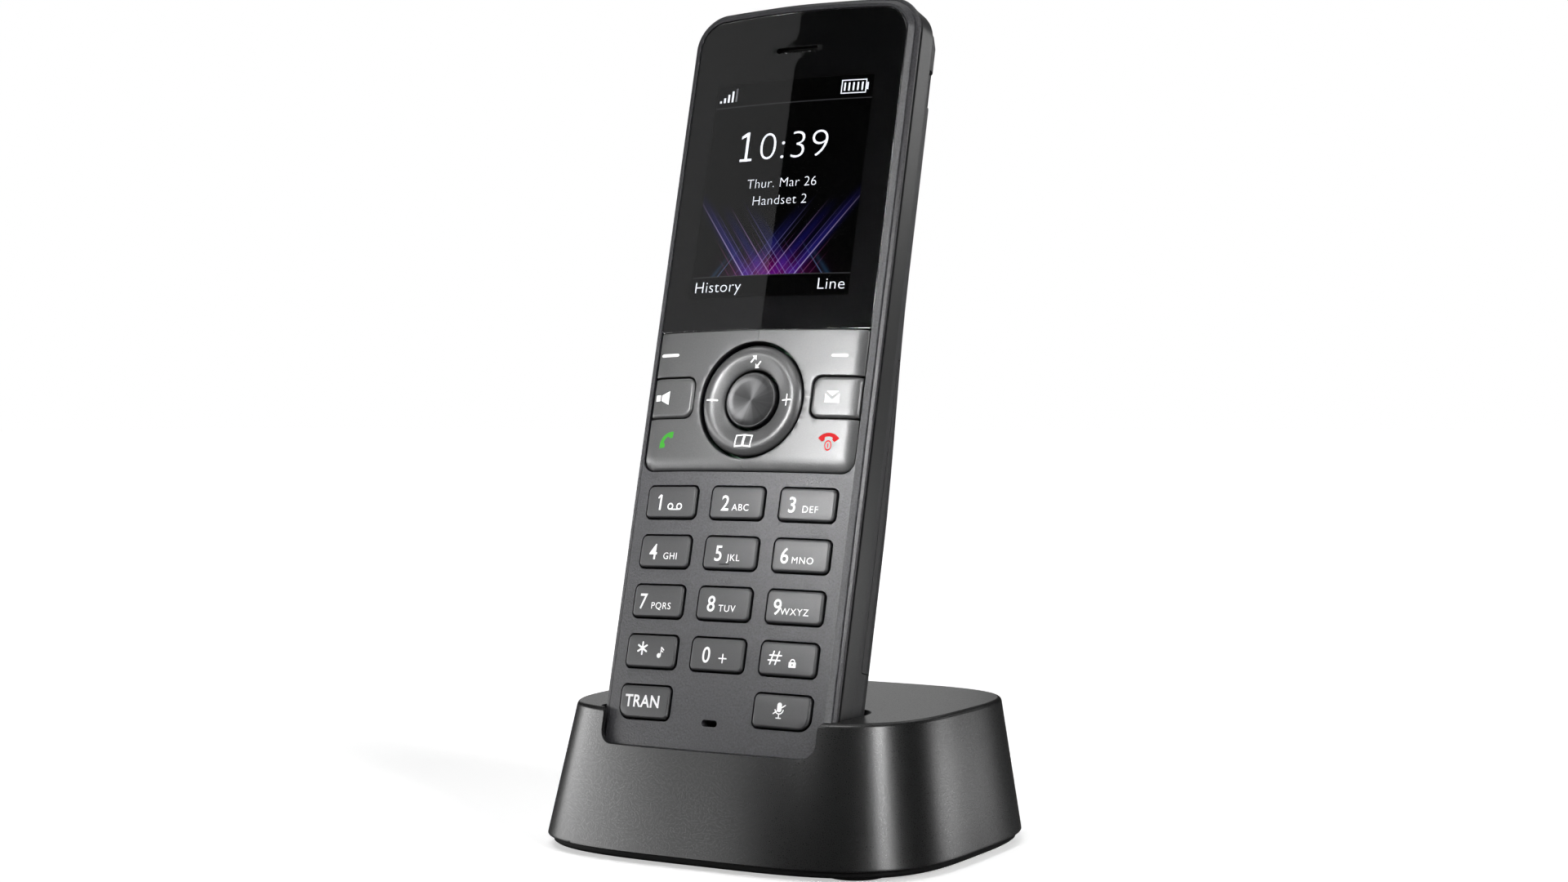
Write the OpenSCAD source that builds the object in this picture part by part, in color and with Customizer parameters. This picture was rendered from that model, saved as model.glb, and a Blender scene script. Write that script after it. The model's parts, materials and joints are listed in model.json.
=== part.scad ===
// Cordless telephone: a handset leaning in its charging cradle.
// World frame: X to the handset's right, Y to the back, Z up, origin on the table under the cradle's centre.
// Handset frame: x across, y up along the handset, z out of its face, origin at the top edge of the display.

/* [Handset] */
// Greatest width of the handset
body_w = 46.3; // [45.5:0.1:47]
// Loss of half-width for each millimetre down the handset
body_taper = 0.001; // [0:0.0005:0.002]
// Distance from the display's top edge to the handset's top end
body_top = 15; // [14:0.1:16]
// Distance from the display's top edge to the handset's bottom end
body_bottom = 127; // [126:0.5:128]
// Corner radius of the front outline
body_corner = 6.2; // [5:0.1:8]
// Rise of the top edge's arch
top_arch = 0.5; // [0:0.1:1]
// Radius of the face's crown across the width
crown_r = 196; // [150:1:300]
// Depth of the front casing behind the face
front_depth = 3.1; // [3:0.1:3.3]
// Height of the side band
band_h = 5.1; // [4.9:0.1:5.2]
// Depth of the rear shell behind the band at the top end
rear_depth_top = 5.6; // [5.4:0.1:7]
// Depth of the rear shell behind the band at the bottom end
rear_depth_low = 10.8; // [10:0.1:11.4]
// Thickness of the moulded walls
wall = 1.3; // [1.2:0.1:1.5]

/* [Display and lens] */
// Width of the lens
lens_w = 42.6; // [42:0.1:43]
// Height of the lens
lens_h = 59.1; // [58:0.1:60]
// Top edge of the lens above the display
lens_top = 12.7; // [12:0.1:13]
// Thickness of the lens
lens_t = 1.2; // [1:0.1:1.3]
// Width of the display's picture
display_w = 32.2; // [28:0.1:33]
// Height of the display's picture
display_h = 40.3; // [35:0.1:41]

/* [Keys] */
// Distance between the columns of digit keys
key_pitch_x = 13.65; // [13.4:0.05:13.8]
// Distance between the rows of digit keys
key_pitch_y = 8.77; // [8.5:0.01:9]
// Width of a digit key
key_w = 10.45; // [9.5:0.05:10.6]
// Height of a digit key
key_h = 5.6; // [5:0.1:6]
// Height of the keys above the face
key_proud = 0.5; // [0.3:0.1:0.8]
// Centre of the first row below the display's top edge
first_row = 77.36; // [77:0.01:78]
// Distance that a key travels
key_travel = 0.5; // [0.3:0.05:0.5]
// Gap around a key
key_gap = 0.25; // [0.2:0.01:0.3]

/* [Control panel] */
// Top edge of the panel below the display's top edge
panel_top = 46.6; // [46.5:0.1:47]
// Bottom edge of the panel below the display's top edge
panel_bottom = 71.7; // [71:0.1:72]
// Width of the panel
panel_w = 42.3; // [42:0.1:42.5]
// Centre of the navigation ring below the display's top edge
ring_y = 59.1; // [59:0.1:59.3]
// Outer radius of the navigation ring
ring_r = 10.1; // [9.8:0.1:10.2]
// Radius of the select key
select_r = 4.95; // [4.6:0.05:5]
// Height of the two side keys
side_key_h = 7.1; // [6.5:0.1:7.4]

/* [Cradle] */
// Height of the cradle's top face
cradle_h = 25.3; // [24.5:0.1:26]
// Half-width of the lower outline
low_half_w = 38.9; // [38:0.1:42]
// Half-depth of the lower outline
low_half_d = 32.1; // [32:0.1:34]
// Half-width of the upper outline
top_half_w = 34.8; // [34:0.1:36]
// Half-depth of the upper outline
top_half_d = 28.8; // [28.6:0.1:29.5]
// Shift of the upper outline to the back
top_shift = 1.9; // [1.8:0.1:2]
// Squareness of the outlines
squareness = 3.6; // [3.4:0.1:4]
// Half-width of the notch in the front wall
notch_half_w = 21.2; // [20.5:0.1:21.5]
// Height of the notch's lower edge
notch_z = 19.4; // [18.5:0.1:20.5]
// Backward lean of the handset
lean = 14.5; // [14:0.1:15]
// Distance of the handset's face from the cradle's centre, at the display's top edge
face_y = 3.7; // [3.5:0.1:4]
// Height of the display's top edge
face_z = 135.45; // [135:0.05:136]

/* [Hidden] */

fine = 96;
eps = 0.01;

// Depths in the handset, counted from the crown of the face.
web_z = -2.6;
band_z = -front_depth - 0.1;
rear_z = band_z - band_h - 0.1;
board_top_z = -5.6;
board_t = 1;
mat_top_z = web_z - key_travel - 0.55;
mat_t = 1.35;
dome_h = 0.3;
bay_top = 49.4;
bay_bottom = 104;
bay_floor_z = rear_z - 1.6;
column_x = [-key_pitch_x, 0, key_pitch_x];

charcoal = [0.27, 0.27, 0.3];
key_grey = [0.38, 0.38, 0.4];
panel_silver = [0.55, 0.55, 0.56];
cradle_grey = [0.2, 0.2, 0.21];
gold = [0.83, 0.66, 0.3];
steel = [0.66, 0.67, 0.69];
board_green = [0.1, 0.35, 0.2];

// ---------- shared shapes ----------

// Places children from the handset frame into the world frame.
module on_handset() {
    translate([0, face_y, face_z]) rotate([90 - lean, 0, 0]) children();
}

function blend(a, b, t) = a * (1 - t) + b * t;
function clamp01(t) = min(1, max(0, t));
function smooth(t) = t * t * (3 - 2 * t);

// Half-width of the handset at a height y.
function half_w(y) = body_w / 2 - body_taper * (5 - y);

// An arc of a circle as a list of points.
function arc(c, r, from, to, steps) =
    [for (i = [0:steps]) let (a = blend(from, to, i / steps)) [c.x + r * cos(a), c.y + r * sin(a)]];

// The front outline of the handset, drawn in by inset.
function body_outline(inset) = let (
    r = body_corner - inset,
    top = body_top - inset,
    low = -body_bottom + inset,
    wt = half_w(0) - inset,
    wl = half_w(-body_bottom) - inset,
    p = concat(
        arc([wt - r, top - r], r, 0, 90, 8),
        [[0, top + top_arch * 0.6]],
        arc([r - wt, top - r], r, 90, 180, 8),
        arc([r - wl, low + r], r, 180, 270, 8),
        arc([wl - r, low + r], r, 270, 360, 8))
    ) [for (q = p) [q.x, q.y > 0 ? q.y - top_arch * pow(q.x / wt, 2) : q.y]];

// A prism with the handset's outline between two depths.
module body_prism(inset, z0, z1) {
    translate([0, 0, z0]) linear_extrude(z1 - z0) polygon(body_outline(inset));
}

// Everything below the crowned face, moved out by lift.
module under_crown(lift) {
    translate([0, -60, lift - crown_r]) rotate([90, 0, 0])
        cylinder(r = crown_r, h = 260, center = true, $fn = 360);
}

// A block standing on z0, rounded in plan with true arcs.
module round_block(c, size, r, z0, z1) {
    translate([c.x, c.y, z0]) {
        translate([-size.x / 2 + r, -size.y / 2, 0]) cube([size.x - 2 * r, size.y, z1 - z0]);
        translate([-size.x / 2, -size.y / 2 + r, 0]) cube([size.x, size.y - 2 * r, z1 - z0]);
        for (sx = [-1, 1], sy = [-1, 1])
            translate([sx * (size.x / 2 - r), sy * (size.y / 2 - r), 0])
                cylinder(r = r, h = z1 - z0, $fn = 48);
    }
}

module post(x, y, r, z0, z1) {
    translate([x, y, z0]) cylinder(r = r, h = z1 - z0, $fn = 48);
}

// A cross recess for a screwdriver.
module cross_slot(c, across, thick, z0, z1) {
    for (size = [[across, thick], [thick, across]])
        translate([c.x - size.x / 2, c.y - size.y / 2, z0]) cube([size.x, size.y, z1 - z0]);
}

// A solid skinned over rings that all hold the same number of points.
module loft(rings) {
    n = len(rings[0]);
    m = len(rings);
    sides = [for (j = [0:m - 2], i = [0:n - 1]) let (k = (i + 1) % n)
        [j * n + i, (j + 1) * n + i, (j + 1) * n + k, j * n + k]];
    first = [for (i = [0:n - 1]) i];
    last = [for (i = [n - 1:-1:0]) (m - 1) * n + i];
    polyhedron(points = [for (r = rings) each r], faces = concat(sides, [first, last]));
}

// ---------- rear shell of the handset ----------

rear_squareness = 3.4;
rear_steps = 22;
rear_step = 0.6;
rear_corner = 8;
rear_end_r = 4.5;
slope_start = 34;
slope_length = 48;

// How far a rounded end has drawn in at a distance d from that end.
function end_draw(d, r) = d >= r ? 0 : r - sqrt(max(0, r * r - (r - d) * (r - d)));

// Depth of the rear shell behind the band at a height y.
function rear_depth(y) =
    blend(rear_depth_top, rear_depth_low, smooth(clamp01((-y - slope_start) / slope_length)));

// One cross-section of the rear shell, as a ring across the handset.
function rear_ring(y, inset) = let (
    d = min(body_top - y, y + body_bottom) - inset,
    hw = half_w(y) - rear_step - inset - end_draw(d, rear_corner),
    depth = rear_depth(y) - inset - 0.8 * end_draw(d, rear_end_r)
    ) [for (i = [0:rear_steps]) let (a = 180 * i / rear_steps)
        [hw * sign(cos(a)) * pow(abs(cos(a)), 2 / rear_squareness), y,
            rear_z - depth * pow(sin(a), 2 / rear_squareness)]];

function rear_stations(inset) = concat(
    [for (t = [0.02, 0.6, 1.6, 3, 5, 7]) -body_bottom + inset + t],
    [-104, -92, -82, -76, -70, -64, -58, -52, -46, -40, -34, -15],
    [for (t = [7, 5, 3, 1.6, 0.6, 0.02]) body_top - inset - t]);

module rear_solid(inset) {
    loft([for (y = rear_stations(inset)) rear_ring(y, inset)]);
}

// The slice of the handset between two heights, as a cutting block.
module slice(y0, y1, z1) {
    translate([-30, y0, -40]) cube([60, y1 - y0, 40 + z1]);
}

// Places of the four screws that hold the casings together.
screw_places = [[18.2, 7.4], [-18.2, 7.4], [17.2, -121.2], [-17.2, -121.2]];
screw_seat_z = -11.4;
boss_r = 2.9;
screw_hole_r = 1.2;
screw_head_r = 1.8;
through_z = -30;
sound_hole_r = 0.7;
sound_hole_pitch = 4;
bay_floor_t = 1.1;

module rear_casing() {
    color(charcoal) on_handset() difference() {
        union() {
            difference() {
                rear_solid(0);
                difference() {
                    rear_solid(wall);
                    slice(-bay_top, -bay_top + wall, 0);
                    slice(-bay_bottom - wall, -bay_bottom, 0);
                }
                slice(-bay_bottom, -bay_top, bay_floor_z);
            }
            intersection() {
                rear_solid(wall / 2);
                slice(-bay_bottom, -bay_top, 0);
                translate([-30, -bay_bottom, bay_floor_z]) cube([60, bay_bottom - bay_top, bay_floor_t]);
            }
            intersection() {
                rear_solid(wall / 2);
                for (s = screw_places) post(s.x, s.y, boss_r, through_z, rear_z);
            }
        }
        for (s = screw_places) {
            post(s.x, s.y, screw_hole_r, through_z, 1);
            post(s.x, s.y, screw_head_r + 0.15, through_z, screw_seat_z);
        }
        for (side = [-1, 1]) clip_slot(side);
        for (col = [-2:2], row = [-2:1])
            post(col * sound_hole_pitch, loudspeaker_y + (row + 0.5) * sound_hole_pitch, sound_hole_r,
                through_z, loudspeaker_back_z + 1.4);
        for (x = pad_x) pad_window(x, 0.1);
    }
}

// The slot in the rear shell's edge that takes one arm of a belt clip.
clip_slot_size = [2.6, 6.8, 2.6];
clip_slot_x = 22.6;
module clip_slot(side) {
    translate([side * clip_slot_x, 0, rear_z - 1.9]) cube(clip_slot_size, center = true);
}

// A shallow hollow across the door's top edge for a fingertip.
scoop_r = 6.5;
scoop_w = 12;
scoop_deep = 0.7;
module finger_scoop() {
    y = -bay_top - 2.2;
    translate([0, y, rear_z - rear_depth(y) + scoop_deep - scoop_r]) rotate([0, 90, 0])
        cylinder(r = scoop_r, h = scoop_w, center = true, $fn = fine);
}

// The door over the battery bay, the middle stretch of the rear shell.
door_gap = 0.15;
module battery_door() {
    color(charcoal) on_handset() intersection() {
        difference() {
            rear_solid(0);
            rear_solid(wall);
            finger_scoop();
        }
        slice(-bay_bottom + door_gap, -bay_top - door_gap, bay_floor_z - door_gap);
    }
}

band_step = 0.2;
module side_band() {
    color([0.4, 0.4, 0.42]) on_handset() difference() {
        body_prism(band_step, band_z - band_h, band_z);
        body_prism(band_step + wall, band_z - band_h - 1, band_z + 1);
        jack_bore(jack_nose_r + 0.35);
    }
}

// ---------- front casing ----------

function key_place(col, row) = [column_x[col], -first_row - row * key_pitch_y];

// Each digit key as [column, row].
digit_keys = [for (row = [0:3], col = [0:2]) [col, row]];
function all_key_places() = concat(
    [for (k = digit_keys) key_place(k[0], k[1])], [key_place(0, 4), key_place(2, 4)]);

ledge_z = -2.3;
ledge_w = 0.75;
microphone_y = -115.3;
earpiece_y = 5.6;

cut_low = -5;
cut_high = 1;
module front_casing() {
    color(charcoal) on_handset() difference() {
        union() {
            difference() {
                intersection() {
                    union() {
                        body_prism(0, -front_depth, ledge_z);
                        body_prism(ledge_w, ledge_z, cut_high);
                    }
                    under_crown(0);
                }
                body_prism(wall + 0.4, -10, web_z);
            }
            intersection() {
                body_prism(0.8, -12, -1.5);
                for (s = screw_places) post(s.x, s.y, 2.3, rear_z, -2);
            }
        }
        lens_recess();
        display_block(1.2, 1.5, cut_low, cut_high);
        round_block([0, earpiece_y], [10.6, 2.4], 1.1, cut_low, cut_high);
        round_block([0, -(panel_top + panel_bottom) / 2],
            [panel_w + 2 * key_gap, panel_bottom - panel_top + 2 * key_gap], 2.4, cut_low, cut_high);
        for (p = all_key_places())
            round_block(p, [key_w + 2 * key_gap, key_h + 2 * key_gap], 1.1, cut_low, cut_high);
        round_block([0, microphone_y], [3.2, 1.3], 0.6, cut_low, cut_high);
        for (s = screw_places) post(s.x, s.y, 0.85, -12, -2.2);
    }
}

// The lens outline grown by grow, as a prism under a crown at lift.
module lens_solid(grow, lift) {
    mid = lens_top - lens_h / 2;
    intersection() {
        round_block([0, mid], [lens_w + 2 * grow, lens_h + 2 * grow], 4.6, -8, 1);
        under_crown(lift);
    }
    intersection() {
        round_block([0, -lens_h / 2 + 4], [lens_w + 2 * grow, lens_h - 17.4 + 2 * grow], 0.6, -8, 1);
        under_crown(lift);
    }
}

module lens_recess() {
    difference() {
        lens_solid(0.1, 2);
        under_crown(-lens_t - 0.05);
    }
}

module display_lens() {
    color([0.07, 0.07, 0.08]) on_handset() difference() {
        lens_solid(0, 0);
        under_crown(-lens_t);
        round_block([0, earpiece_y], [8.4, 1], 0.45, -5, 1);
    }
}

// A block behind the picture, wider by side at each side and longer by end at each end.
module display_block(side, end, z0, z1) {
    translate([-display_w / 2 - side, -display_h - end, z0])
        cube([display_w + 2 * side, display_h + 2 * end, z1 - z0]);
}

panel_back_z = -4;
panel_front_z = -2.2;
module display_panel() {
    color([0.02, 0.02, 0.05]) on_handset() display_block(0.8, 1.1, panel_back_z, panel_front_z);
}

module display_frame() {
    color(steel) on_handset() difference() {
        display_block(2.5, 2.1, panel_back_z - 1.1, panel_back_z + 0.8);
        display_block(0.9, 1.3, panel_back_z - 0.1, panel_back_z + 2);
        for (x = [-10, 10], y = [-30, -10]) post(x, y, 3, panel_back_z - 2, panel_back_z + 1);
    }
}

module earpiece_mesh() {
    color(steel) on_handset() difference() {
        round_block([0, earpiece_y], [10.4, 2.2], 1, -1.75, -1.35);
        for (x = [-4.4:0.8:4.5]) post(x, earpiece_y, 0.22, -3, 0);
    }
}

module earpiece_speaker() {
    color([0.15, 0.15, 0.16]) on_handset() {
        round_block([0, earpiece_y], [15, 6], 2.4, -5.2, -3.1);
        round_block([0, earpiece_y], [10, 2], 0.9, -3.1, -1.85);
    }
}

// ---------- inside the handset ----------

module jack_bore(r) {
    translate([-30, jack_y, jack_z]) rotate([0, 90, 0]) cylinder(r = r, h = 21.5, $fn = fine);
}
jack_y = -45.05;
jack_z = -6.35;
jack_r = 1.8;
jack_nose_r = 2;
jack_body = [14.2, 5, 4];
jack_back_x = -6;

board_w = 39.8;
board_high = 10.5;
board_low = -124;
boss_clear_r = 2.5;
module main_circuit_board() {
    color(board_green) on_handset() difference() {
        translate([-board_w / 2, board_low, board_top_z - board_t])
            cube([board_w, board_high - board_low, board_t]);
        for (s = screw_places) post(s.x, s.y, boss_clear_r, -12, 0);
        translate([-21, jack_y - 2.7, -9]) cube([15.6, 5.4, 6]);
        for (side = [-1, 1], y = [board_high + 0.5, board_low - 0.5])
            translate([side * 21.2, y, -7]) rotate([0, 0, 45]) cube([8, 8, 4], center = true);
    }
}

module dome(x, y) {
    post(x, y, 2.1, board_top_z, board_top_z + dome_h);
}

nav_dome_r = 7.7;
module dome_sheet() {
    color(steel) on_handset() {
        for (p = all_key_places()) dome(p.x, p.y);
        for (a = [0:90:270]) dome(nav_dome_r * cos(a), -ring_y + nav_dome_r * sin(a));
        for (side = [-1, 1], row = [-1:1]) dome(side * corner_stem.x, side_key_y + row * corner_stem.y);
        dome(0, -ring_y);
    }
}

// The mat is a forked sheet: full width under the digit keys, and two arms beside the ring.
mat_w = 40;
mat_high = 47.6;
mat_fork = 75;
mat_low = 118.6;
mat_arm_w = 7.8;
module keypad_mat() {
    low = mat_top_z - mat_t;
    color([0.75, 0.75, 0.78]) on_handset() difference() {
        union() {
            translate([-mat_w / 2, -mat_low, low]) cube([mat_w, mat_low - mat_fork + 4, mat_t]);
            for (side = [-1, 1]) translate([side < 0 ? -mat_w / 2 : mat_w / 2 - mat_arm_w, -mat_fork, low])
                cube([mat_arm_w, mat_fork - mat_high, mat_t]);
            for (p = all_key_places()) post(p.x, p.y, 1.1, low - 0.2, low + eps);
        }
        translate([-3.6, -mat_low - 0.4, low - 1]) cube([7.2, 7, 4]);
        for (s = screw_places) post(s.x, s.y, boss_clear_r, -12, 0);
    }
}

microphone_r = 2;
microphone_top_z = -4.3;
module microphone() {
    color(gold) on_handset() post(0, microphone_y, microphone_r, board_top_z, microphone_top_z);
}

module microphone_boot() {
    color([0.12, 0.12, 0.12]) on_handset() difference() {
        post(0, microphone_y, microphone_r + 0.9, board_top_z, web_z);
        post(0, microphone_y, microphone_r + 0.05, board_top_z - 1, microphone_top_z + 0.05);
        round_block([0, microphone_y], [2.8, 1], 0.45, -5, 0);
    }
}

loudspeaker_y = -16;
loudspeaker_back_z = -11.4;
module loudspeaker() {
    color([0.13, 0.13, 0.14]) on_handset() {
        post(0, loudspeaker_y, 10, loudspeaker_back_z + 2, loudspeaker_back_z + 4.2);
        post(0, loudspeaker_y, 7.5, loudspeaker_back_z, loudspeaker_back_z + 2 + eps);
    }
}

motor_l = 8;
module vibration_motor() {
    // The can, its shaft and the off-centre weight.
    color(steel) on_handset() translate([6, -37, -9]) rotate([0, 90, 0]) {
        cylinder(r = 1.9, h = motor_l, $fn = 48);
        translate([0, 0, motor_l]) cylinder(r = 0.5, h = 1.4, $fn = 32);
        translate([1.1, 0, motor_l + 1.2]) cylinder(r = 1.5, h = 1.8, $fn = 48);
    }
}

battery_size = [32, 45, 3.9];
battery_y = -79.9;
module battery_pack() {
    color([0.16, 0.28, 0.5]) on_handset() round_block([0, battery_y], [battery_size.x, battery_size.y], 1.2,
        bay_floor_z - 0.1 - battery_size.z, bay_floor_z - 0.1);
}

module battery_contacts() {
    blade = [1.6, 1.5, 3];
    color(gold) on_handset() for (x = [-5, 0, 5])
        translate([x - blade.x / 2, -bay_top - 2.6, bay_floor_z - blade.z]) cube(blade);
}

// The two pads on the handset's bottom end that meet the cradle's contacts.
pad_z = -10.6;
pad_x = [-7, 7];
pad_size = [5, 3.2, 3];
module pad_window(x, gap) {
    translate([x, -body_bottom, pad_z]) cube([pad_size.x + 2 * gap, 8, pad_size.z + 2 * gap], center = true);
}

module charging_pads() {
    color(gold) on_handset() for (x = pad_x)
        translate([x - pad_size.x / 2, -body_bottom + 0.1, pad_z - pad_size.z / 2]) cube(pad_size);
}

module antenna() {
    color(gold) on_handset() {
        translate([-12, 9, -8.4]) cube([24, 2.6, 0.4]);
        for (x = [-11, 9.4]) translate([x, 9, -8.4]) cube([1.6, 0.4, 1.8]);
    }
}

module headset_jack() {
    color([0.1, 0.1, 0.1]) on_handset() difference() {
        union() {
            translate([jack_back_x - jack_body.x, jack_y - jack_body.y / 2, jack_z - jack_body.z / 2])
                cube(jack_body);
            translate([-half_w(jack_y) + 0.4, jack_y, jack_z]) rotate([0, 90, 0])
                cylinder(r = jack_nose_r, h = 3, $fn = fine);
        }
        translate([-30, jack_y, jack_z]) rotate([0, 90, 0]) cylinder(r = jack_r, h = 22, $fn = fine);
    }
}

module casing_screws() {
    color(steel) on_handset() for (s = screw_places) difference() {
        union() {
            post(s.x, s.y, screw_head_r, screw_seat_z - 1.1, screw_seat_z - 0.02);
            post(s.x, s.y, 0.8, screw_seat_z - 0.1, -3.4);
        }
        cross_slot(s, 2.4, 0.4, screw_seat_z - 1.2, screw_seat_z - 0.6);
    }
}

// ---------- keys ----------

// A digit key: a cap through the casing with a lip under it.
module digit_key(p) {
    color(key_grey) on_handset() {
        intersection() {
            round_block(p, [key_w, key_h], 0.9, web_z - 0.06, 2);
            under_crown(key_proud);
        }
        round_block(p, [key_w + 1.6, key_h + 1.4], 1.2, web_z - 0.5, web_z - 0.05);
    }
}

module digit(col, row) { digit_key(key_place(col, row)); }
module key_1() { digit(0, 0); }
module key_2() { digit(1, 0); }
module key_3() { digit(2, 0); }
module key_4() { digit(0, 1); }
module key_5() { digit(1, 1); }
module key_6() { digit(2, 1); }
module key_7() { digit(0, 2); }
module key_8() { digit(1, 2); }
module key_9() { digit(2, 2); }
module key_star() { digit(0, 3); }
module key_0() { digit(1, 3); }
module key_hash() { digit(2, 3); }
module key_transfer() { digit(0, 4); }
module key_mute() { digit(2, 4); }

// ---------- control panel ----------

panel_proud = 0.35;
panel_gap = 0.1;
side_key_y = -58.55;
side_key_in = 12.1;
corner_stem = [16.4, 7.7];

// The whole panel plate, before it is divided.
module panel_plate() {
    intersection() {
        round_block([0, -(panel_top + panel_bottom) / 2], [panel_w, panel_bottom - panel_top], 2.2, web_z, 2);
        under_crown(panel_proud);
    }
}

// The outline of one side key as a block, grown by grow.
module side_key_block(side, grow, z0, z1) {
    w = panel_w / 2 - side_key_in;
    intersection() {
        round_block([side * (side_key_in + w), side_key_y],
            [2 * w + 2 * grow, side_key_h + 2 * grow], 1.7, z0, z1);
        translate([side > 0 ? 0 : -40, -100, z0]) cube([40, 100, z1 - z0]);
    }
}

// One corner of the panel: sx is the side, sy is 1 for the upper pair.
module corner_key(sx, sy) {
    color(panel_silver) on_handset() {
        difference() {
            panel_plate();
            post(0, -ring_y, ring_r + 0.3, -5, 3);
            side_key_block(sx, key_gap, -5, 3);
            translate([sx > 0 ? -40 : -panel_gap / 2, -100, -5]) cube([40 + panel_gap / 2, 100, 8]);
            translate([-40, sy > 0 ? -140 + side_key_y + panel_gap / 2 : side_key_y - panel_gap / 2, -5])
                cube([80, 140, 8]);
        }
        post(sx * corner_stem.x, side_key_y + sy * corner_stem.y, 2, web_z - 0.45, web_z + eps);
    }
}

module soft_key_left() { corner_key(-1, 1); }
module soft_key_right() { corner_key(1, 1); }
module talk_key() { corner_key(-1, -1); }
module end_key() { corner_key(1, -1); }

module side_key(side) {
    color(panel_silver) on_handset() {
        intersection() {
            side_key_block(side, 0, web_z, 2);
            under_crown(panel_proud + 0.1);
            translate([-panel_w / 2, -100, -5]) cube([panel_w, 100, 9]);
        }
        post(side * corner_stem.x, side_key_y, 2, web_z - 0.45, web_z + eps);
    }
}

module speaker_key() { side_key(-1); }
module message_key() { side_key(1); }

// The navigation ring is a rounded rim section, turned about the ring's own axis.
ring_section = [[select_r + 0.35, -2.4], [ring_r - 0.1, -2.4], [ring_r, -0.1], [ring_r - 0.6, 0.3],
    [ring_r - 2.1, 0.55], [select_r + 1.6, 0.25], [select_r + 0.35, -0.2]];
module nav_ring() {
    color([0.6, 0.6, 0.62]) on_handset() translate([0, -ring_y, 0])
        rotate_extrude($fn = fine) polygon(ring_section);
}

// A flat gimbal ring with two pairs of trunnions, one pair for each way the ring rocks.
pivot_z = -3.3;
pivot_r = 7;
trunnion_r = 0.2;
trunnion_l = 1.2;
module nav_pivot_frame() {
    color(steel) on_handset() {
        difference() {
            post(0, -ring_y, pivot_r, pivot_z - trunnion_r, pivot_z + trunnion_r);
            post(0, -ring_y, pivot_r - 1.4, pivot_z - 1, pivot_z + 1);
        }
        for (turn = [0:90:270])
            translate([0, -ring_y, pivot_z]) rotate([0, 90, turn]) translate([0, 0, pivot_r - 0.1])
                cylinder(r = trunnion_r, h = trunnion_l + 0.1, $fn = 48);
    }
}

module select_key() {
    color([0.45, 0.45, 0.46]) on_handset() {
        post(0, -ring_y, select_r, -2.6, 0.3);
        post(0, -ring_y, 3, -4.3, -2.6 + eps);
    }
}

// ---------- cradle ----------

shell_z = 2;
shell_wall = 1.2;
plate_z = 0.7;

// A superelliptic outline.
function super_ring(a, b, yc, z) = [for (i = [0:71]) let (t = 5 * i + 2.5)
    [a * sign(cos(t)) * pow(abs(cos(t)), 2 / squareness),
        yc + b * sign(sin(t)) * pow(abs(sin(t)), 2 / squareness), z]];

// The cradle's outline at a height z, drawn in by inset, with back_extra more at the back.
function cradle_ring(z, inset, back_extra) = let (t = (z - shell_z) / (cradle_h - shell_z))
    super_ring(blend(low_half_w, top_half_w, t) - inset - back_extra,
        blend(low_half_d, top_half_d, t) - inset - back_extra / 2,
        top_shift * t - back_extra / 2, z);

module cradle_outer() {
    loft([cradle_ring(shell_z, 0, 0), cradle_ring(cradle_h - 1, 0, 0), cradle_ring(cradle_h - 0.35, 0.25, 0),
        cradle_ring(cradle_h, 0.9, 0)]);
}

module cradle_inner() {
    loft([cradle_ring(shell_z - 1, shell_wall, 0.6), cradle_ring(cradle_h - 2, shell_wall, 0.6)]);
}

well_gap = 0.5;
well_half_w = half_w(-108) + well_gap;
well_depth = rear_depth_low + 0.9;
well_back_steps = 24;
well_floor_y = -body_bottom - 0.5;
well_wall = 1.3;

// The space that the handset slides in, grown by grow, from a depth along the handset upwards.
module well_space(grow, y0, front) {
    hw = well_half_w + grow;
    back = [for (i = [0:well_back_steps]) let (a = 180 * i / well_back_steps)
        [-hw * sign(cos(a)) * pow(abs(cos(a)), 2 / rear_squareness),
            rear_z - (well_depth + grow) * pow(sin(a), 2 / rear_squareness)]];
    translate([0, y0 + 60, 0]) rotate([90, 0, 0]) linear_extrude(60)
        polygon(concat(
            [[hw, -2.2], [hw - 0.5, -0.9], [hw - 3.2, front - 0.45], [0, front],
                [3.2 - hw, front - 0.45], [0.5 - hw, -0.9], [-hw, -2.2]],
            back));
}

// The notch in the front wall, with rounded lower corners and flared shoulders.
module notch() {
    r = 2.4;
    s = 1.5;
    top = cradle_h + 0.2;
    outline = concat(
        arc([-notch_half_w + r, notch_z + r], r, 180, 270, 8),
        arc([notch_half_w - r, notch_z + r], r, 270, 360, 8),
        arc([notch_half_w + s, top - s], s, 180, 90, 6),
        [[notch_half_w + s, top + 5], [-notch_half_w - s, top + 5]],
        arc([-notch_half_w - s, top - s], s, 90, 0, 6));
    translate([0, -10, 0]) rotate([90, 0, 0]) linear_extrude(40) polygon(outline);
}

base_screws = [[31, -13], [-31, -13], [31, 13], [-31, 13]];
pillar_r = 2.8;
inlet_z = 7.5;
inlet_opening = [10.4, 5.2];

module cradle_housing() {
    color(cradle_grey) difference() {
        union() {
            difference() {
                cradle_outer();
                cradle_inner();
            }
            intersection() {
                cradle_outer();
                for (s = base_screws) post(s.x, s.y, pillar_r, 3.4, cradle_h - 1);
            }
        }
        on_handset() well_space(0, well_floor_y, well_gap);
        notch();
        for (s = base_screws) post(s.x, s.y, 1.1, 2, 12);
        translate([-inlet_opening.x / 2, 26, inlet_z - inlet_opening.y / 2])
            cube([inlet_opening.x, 10, inlet_opening.y]);
    }
}

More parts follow.
